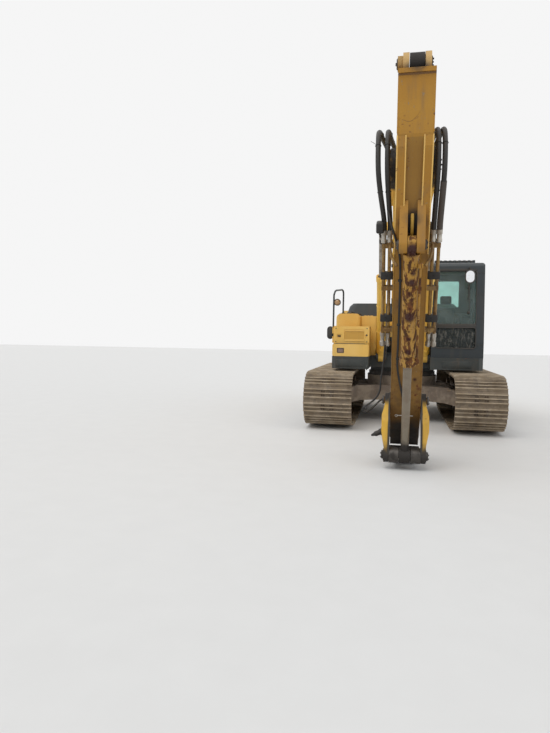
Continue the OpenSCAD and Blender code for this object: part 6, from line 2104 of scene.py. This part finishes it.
    def make_linkage(self) -> None:
        """Caps, collars and greasers of the side links and the cross link."""
        caps, edges, trim = Assembly(), Assembly(), Assembly()
        link, cross = between(((4.91892, 0.84601), LINK_EYE)), Limb(*LINK_EYE, 187)
        for side in SIDES:
            pin_cap(caps, at(side * 0.277, *LINK_EYE), side, 0.055)
            caps.add(ring_part(0.07, 0.016, 28, 8), faced(side, side * 0.259, *LINK_EYE))
            caps.add(rod_part(0.01, 0.02, sides=8), faced(side, side * 0.262, 5.09, 0.52))
            edges.hose([link.to(side * 0.2005, *q) for q in (
                (0.02, 0.094), (0.2, 0.145), (0.4, 0.166), (0.56, 0.14), (0.72, 0.094))], 0.013, 8)
            trim.add(ring_part(0.078, 0.018, 28, 8), *[
                aimed(cross.to(side * 0.196, along, 0), (side, 0, 0)) for along in (0.0, 0.6)])
            trim.add(rod_part(0.007, 0.02, 0.004, 8),
                     aimed(cross.to(side * 0.12, 0.3, 0.078), cross.axes()[1]))
        caps.finish("link_pin_caps", GREASY, "side_links")
        edges.finish("link_edges", BLACK_EDGE, "side_links")
        trim.finish("cross_link_seals", GREASY, "cross_link")

    def make_loose_ends(self) -> None:
        """Grease hoses, a black hose on the arm's front that partly stands for shade, the white tie and the
        capped hose end on the left link.
        """
        loop = [at(*spot) for spot in (
            (-0.314, 5.21, 1.12), (-0.326, 5.15, 0.985), (-0.362, 5.11, 0.9), (-0.435, 5.06, 0.82),
            (-0.512, 5.02, 0.755), (-0.534, 5.0, 0.71), (-0.5, 4.99, 0.692), (-0.425, 4.98, 0.738),
            (-0.365, 4.96, 0.795), (-0.32, 4.94, 0.838), (-0.29, 4.93, 0.85))]
        Assembly().hose([ARM.to(-0.27, 2.06, 0.25), ARM.to(-0.284, 2.3, 0.262), *loop], 0.012).finish(
            "link_grease_hose", RUBBER, "arm")
        # This black hose with its clamps lies in the dark slot beside the bucket ram and partly stands for
        # that painted shade.
        front = Assembly().hose([ARM.to(*spot) for spot in (
            (-0.262, 0.42, 0.29), (-0.215, 0.58, 0.405), (-0.165, 0.74, 0.408), (-0.124, 0.92, 0.384),
            (-0.113, 1.1, 0.374), (-0.112, 1.5, 0.361), (-0.114, 2.0, 0.346), (-0.117, 2.28, 0.338),
            (-0.088, 2.5, 0.332), (-0.05, 2.68, 0.326), (-0.02, 2.86, 0.299))], 0.0125)
        front.box((0.044, 0.026, 0.034), 0.006, *[ARM.level(-0.113, along, rise) for along, rise in (
            (1.2, 0.369), (1.75, 0.353), (2.2, 0.339))])
        front.finish("arm_front_shade_hose", RUBBER, "arm")
        tie = Assembly().hose([ARM.to(x, 3.04, 0.2605 + 0.1 * abs(x)) for x in
                               (-0.104, -0.06, 0.0, 0.06, 0.098)], 0.0045, 8)
        tie.add(ring_part(0.016, 0.006, 16, 6), ARM.level(-0.112, 3.045, 0.268))
        tie.finish("white_tie", WHITE_TIE, "arm")
        end = Assembly().add(spun_part([
            (0, -0.03), (0.044, -0.03), (0.044, 0.045), (0.034, 0.052), (0.034, 0.11),
            (0.026, 0.118), (0.011, 0.165), (0, 0.168)], 20),
            aimed(at(-0.27, 5.05, 0.455), (-1.0, 0.06, -0.42)))
        end.box((0.016, 0.09, 0.11), 0.006, put(-0.289, 5.05, 0.462))
        end.finish("capped_hose_end", RUBBER, "side_links")


@dataclass
class Hoses:
    """Hoses that cross joints: over the nose, at the boom's foot and at the rams' feet."""

    radius: float = 0.028
    far_x: tuple[float, ...] = (-0.379, -0.28, 0.246, 0.312)
    way: tuple[Point, ...] = ((0.3, -0.901, 0.346), (0.8, -0.391, 0.406), (1, 0.009, 0.376),
                              (1, 0.279, 0.171), (0.9, 0.329, -0.119), (0.6, 0.219, -0.329))
    boom_end: float = 1.803
    arm_end: float = 0.737
    foot_end: Pair = (0.53, 0.3663)
    ties: tuple[tuple[int, Point], ...] = ((0, (-1, -0.6, 0.5)), (1, (1, -0.8, 0.3)))

    def build(self) -> None:
        """Builds the hose sets and their steel ends."""
        self.make_nose_hoses()
        self.make_foot_hoses()
        self.make_ram_hoses()

    @staticmethod
    def curve(points: list[Vector], steps: int = 8) -> list[Vector]:
        """Smooth curve through route points, by the same rule as in the CAD source.

        Args:
            points: Points that it passes.
            steps: Number of steps between two of them.

        Returns:
            Points on the curve.
        """
        out = []
        last = len(points) - 1
        for i in range(last):
            a, b = points[max(i - 1, 0)], points[i]
            c, d = points[i + 1], points[min(i + 2, last)]
            for k in range(steps):
                t = k / steps
                out.append((2 * b + (c - a) * t + (2 * a - 5 * b + 4 * c - d) * t * t
                            + (3 * b - a - 3 * c + d) * t ** 3) / 2)
        return out + [points[-1]]

    def nose_route(self, index: int) -> list[Vector]:
        """Middle line of one nose hose, from the boom's pipe to the arm's.

        Args:
            index: Number of the hose.

        Returns:
            Points along the hose.
        """
        x0, x1 = BOOM_PIPES_X[index], ARM_PIPES_X[index]
        start = BOOM_TOP.to(x0, self.boom_end, BOOM_PIPE_RISE)
        points = [start, start + Vector((0, -0.16, 0.012))]
        for share, ahead, above in self.way:
            plain = x0 if ahead < -0.25 else x1
            points.append(at(self.far_x[index] * share + plain * (1 - share),
                             ARM.forward + ahead, ARM.up + above))
        return self.curve([*points, ARM.to(x1, 0.56, ARM_PIPE_RISE),
                           ARM.to(x1, self.arm_end, ARM_PIPE_RISE)])

    def make_nose_hoses(self) -> None:
        """Four big hoses with ties, sleeves and crimped ends, bent between boom and arm."""
        hoses = Assembly()
        routes = [self.nose_route(index) for index in range(4)]
        for route in routes:
            hoses.bead(route, self.radius, 14)
            for share in (0.22, 0.4, 0.58, 0.78):
                k = int(share * (len(route) - 1))
                hoses.add(ring_part(self.radius + 0.001, 0.009, 20, 6),
                          aimed(route[k], route[k + 1] - route[k]))
        for index, way in self.ties:
            knot = routes[index][int(0.58 * (len(routes[index]) - 1))]
            way = Vector(way).normalized()
            hoses.add(bar(knot + way * self.radius, knot + way * (self.radius + 0.07), 0.0025, 6))
        ends_at = (BOOM_TOP.to(0, self.boom_end, BOOM_PIPE_RISE), ARM.to(0, self.arm_end, ARM_PIPE_RISE))
        hoses.span("nose_hose_set", RUBBER, ("boom", "arm"), *ends_at, replaces=("nose_hoses",))
        Assembly().bead(routes[3][-20:-4], self.radius + 0.006, 14).span(
            "nose_hose_sleeve", SLEEVE, ("boom", "arm"), *ends_at)
        crimp = [(0.022, -0.055), (0.033, -0.05), (0.033, -0.018), (0.029, -0.012), (0.029, 0.035),
                 (0.034, 0.04), (0.034, 0.085), (0.027, 0.09)]
        Assembly().add(spun_part(crimp, 20), *[
            aimed(BOOM_TOP.to(x, 1.8, BOOM_PIPE_RISE), BOOM_TOP.axes()[0]) for x in BOOM_PIPES_X]).finish(
            "boom_hose_ends", PIPE_STEEL, "boom")
        Assembly().add(spun_part(crimp, 20), *[
            aimed(ARM.to(x, 0.741, ARM_PIPE_RISE), -ARM.axes()[0]) for x in ARM_PIPES_X]).finish(
            "arm_hose_ends", PIPE_STEEL, "arm")

    def make_foot_hoses(self) -> None:
        """Hoses from the valve block up to the boom's back pipes."""
        hoses = Assembly()
        for x in FOOT_PIPES_X:
            hoses.hose([*[at(x * share, forward, z) for share, forward, z in (
                (0.62, -0.47, 1.46), (0.66, -0.56, 1.6), (0.8, -0.5, 2.0), (0.92, -0.22, 2.31))],
                *[BOOM.to(x, *q) for q in ((0.16, 0.345), (0.34, 0.331), self.foot_end)]], 0.0235, 12, 8)
        hoses.span("boom_foot_hoses", RUBBER, ("upper", "boom"), at(0, -0.45, 1.95), BOOM.to(0, 0.2, 0.25))
        Assembly().add(spun_part([(0.018, -0.05), (0.027, -0.05), (0.027, 0.03), (0.023, 0.035),
                                  (0.019, 0.05)], 16), *[
            BOOM.level(x, *self.foot_end) @ turned(90 + BOOM_BACK_SLOPE) for x in FOOT_PIPES_X]).finish(
            "boom_pipe_ends", PIPE_STEEL, "boom")

    def make_ram_hoses(self) -> None:
        """Short hoses from the deck to the boom rams and from the boom to the arm ram."""
        foot, line = between(BOOM_RAM_ENDS), between(ARM_RAM_ENDS)
        low, high = Assembly(), Assembly()
        for side in SIDES:
            for sway in (-0.03, 0.03):
                x = side * BOOM_RAM_X + sway
                low.hose([at(x, 0.6, 1.335), at(x, 0.66, 1.5), at(x, 0.8, 1.62),
                          foot.to(x, 0.235, 0.085)], 0.016, 10, 8)
            high.hose([BOOM_TOP.to(side * 0.19, 0.3, 0.06), BOOM_TOP.to(side * 0.215, 0.2, 0.2),
                       line.to(side * 0.175, 0.2, 0.02), line.to(side * 0.1, 0.235, 0.055)],
                      0.018, 10, 8)
        low.span("boom_ram_hoses", RUBBER, ("upper", "boom_barrels"), at(0, 0.62, 1.42),
                 foot.to(0, 0.2, 0.085))
        high.span("arm_ram_hoses", RUBBER, ("boom", "arm_barrel"), BOOM_TOP.to(0, 0.2, 0.1),
                  line.to(0, 0.235, 0.055))


# Studio
@dataclass
class Studio:
    """Pale floor, soft light and the camera at the photograph's angle."""

    eye: Vector = field(default_factory=lambda: at(-0.15, 12.77, 1.65))
    yaw: float = math.radians(-11.4)
    pitch: float = math.radians(-2.9)
    roll: float = math.radians(0.9)
    lens: float = 29.12
    floor_half: float = 60.0

    def build(self) -> None:
        """Makes the camera, the lamps, the world and the floor."""
        self.make_camera()
        self.make_lamps()
        self.make_world()
        self.make_floor()

    def make_camera(self) -> None:
        """Camera from its place and its three turns."""
        ahead = Vector((math.sin(self.yaw), math.cos(self.yaw), 0))
        right = Vector((math.cos(self.yaw), -math.sin(self.yaw), 0))
        up = Vector((0, 0, 1))
        look = ahead * math.cos(self.pitch) + up * math.sin(self.pitch)
        top = up * math.cos(self.pitch) - ahead * math.sin(self.pitch)
        side = right * math.cos(self.roll) + top * math.sin(self.roll)
        top = top * math.cos(self.roll) - right * math.sin(self.roll)
        data = bpy.data.cameras.new("photo_camera")
        data.sensor_fit = "VERTICAL"
        data.sensor_height = 36.0
        data.lens = self.lens
        data.clip_end = 300.0
        camera = bpy.data.objects.new("photo_camera", data)
        turn = Matrix((side, top, -look)).transposed().to_4x4()
        camera.matrix_world = move_to(self.eye) @ turn
        bpy.context.scene.collection.objects.link(camera)
        bpy.context.scene.camera = camera

    def make_lamps(self) -> None:
        """Three broad, soft suns: a high key, a fill from the cab's side and one from behind."""
        for name, aim, strength, angle in (
                ("key", (0.35, 0.55, -1.0), 1.45, 50.0),
                ("fill", (-0.9, 0.5, -0.45), 0.45, 60.0),
                ("rear", (0.2, -0.9, -0.6), 0.45, 60.0)):
            data = bpy.data.lights.new(name, "SUN")
            data.energy = strength
            data.angle = math.radians(angle)
            lamp = bpy.data.objects.new(name, data)
            lamp.rotation_euler = Vector(aim).to_track_quat("-Z", "Y").to_euler()
            bpy.context.scene.collection.objects.link(lamp)

    def make_world(self) -> None:
        """Even light all round, white where the camera, gloss and glass look at it."""
        world = bpy.data.worlds.new("studio_air")
        bpy.context.scene.world = world
        world.use_nodes = True
        graph = Graph(world.node_tree)
        camera, gloss, glass = [graph.node("ShaderNodeLightPath", {}, {}, f"Is {ray} Ray")
                                for ray in ("Camera", "Glossy", "Transmission")]
        seen = graph.math("MAXIMUM", graph.math("MAXIMUM", camera, gloss), glass)
        even = graph.node("ShaderNodeBackground", {}, {"Color": (0.93, 0.96, 1.0), "Strength": 0.55})
        white = graph.node("ShaderNodeBackground", {}, {"Color": (1.0, 1.0, 1.0), "Strength": 0.92})
        graph.end(graph.node("ShaderNodeMixShader", {}, {"Fac": seen, 1: even, 2: white}),
                  "ShaderNodeOutputWorld")

    def make_floor(self) -> None:
        """Wide pale floor under the tracks."""
        mesh = bpy.data.meshes.new("pale_floor")
        shape = bmesh.new()
        bmesh.ops.create_grid(shape, x_segments=1, y_segments=1, size=self.floor_half)
        shape.to_mesh(mesh)
        shape.free()
        floor = bpy.data.objects.new("pale_floor", mesh)
        bpy.context.scene.collection.objects.link(floor)
        material = bpy.data.materials.new("pale_floor")
        material.use_nodes = True
        graph = Graph(material.node_tree)
        graph.surface({"Base Color": graph.mix(graph.noise(3.0, 4.0), (0.7, 0.69, 0.67),
                                               (0.74, 0.73, 0.71)), "Roughness": 0.9})
        mesh.materials.append(material)


def main() -> None:
    """Builds the studio and every sub-assembly."""
    logging.basicConfig(level=logging.INFO, format="%(name)s: %(message)s")
    bpy.context.scene.view_settings.view_transform = "Standard"
    Studio().build()
    dress_nodes()
    for assembly in (Undercarriage(), UpperStructure(), Cab(), FrontEquipment(), Hoses()):
        assembly.build()


if __name__ == "__main__":
    main()
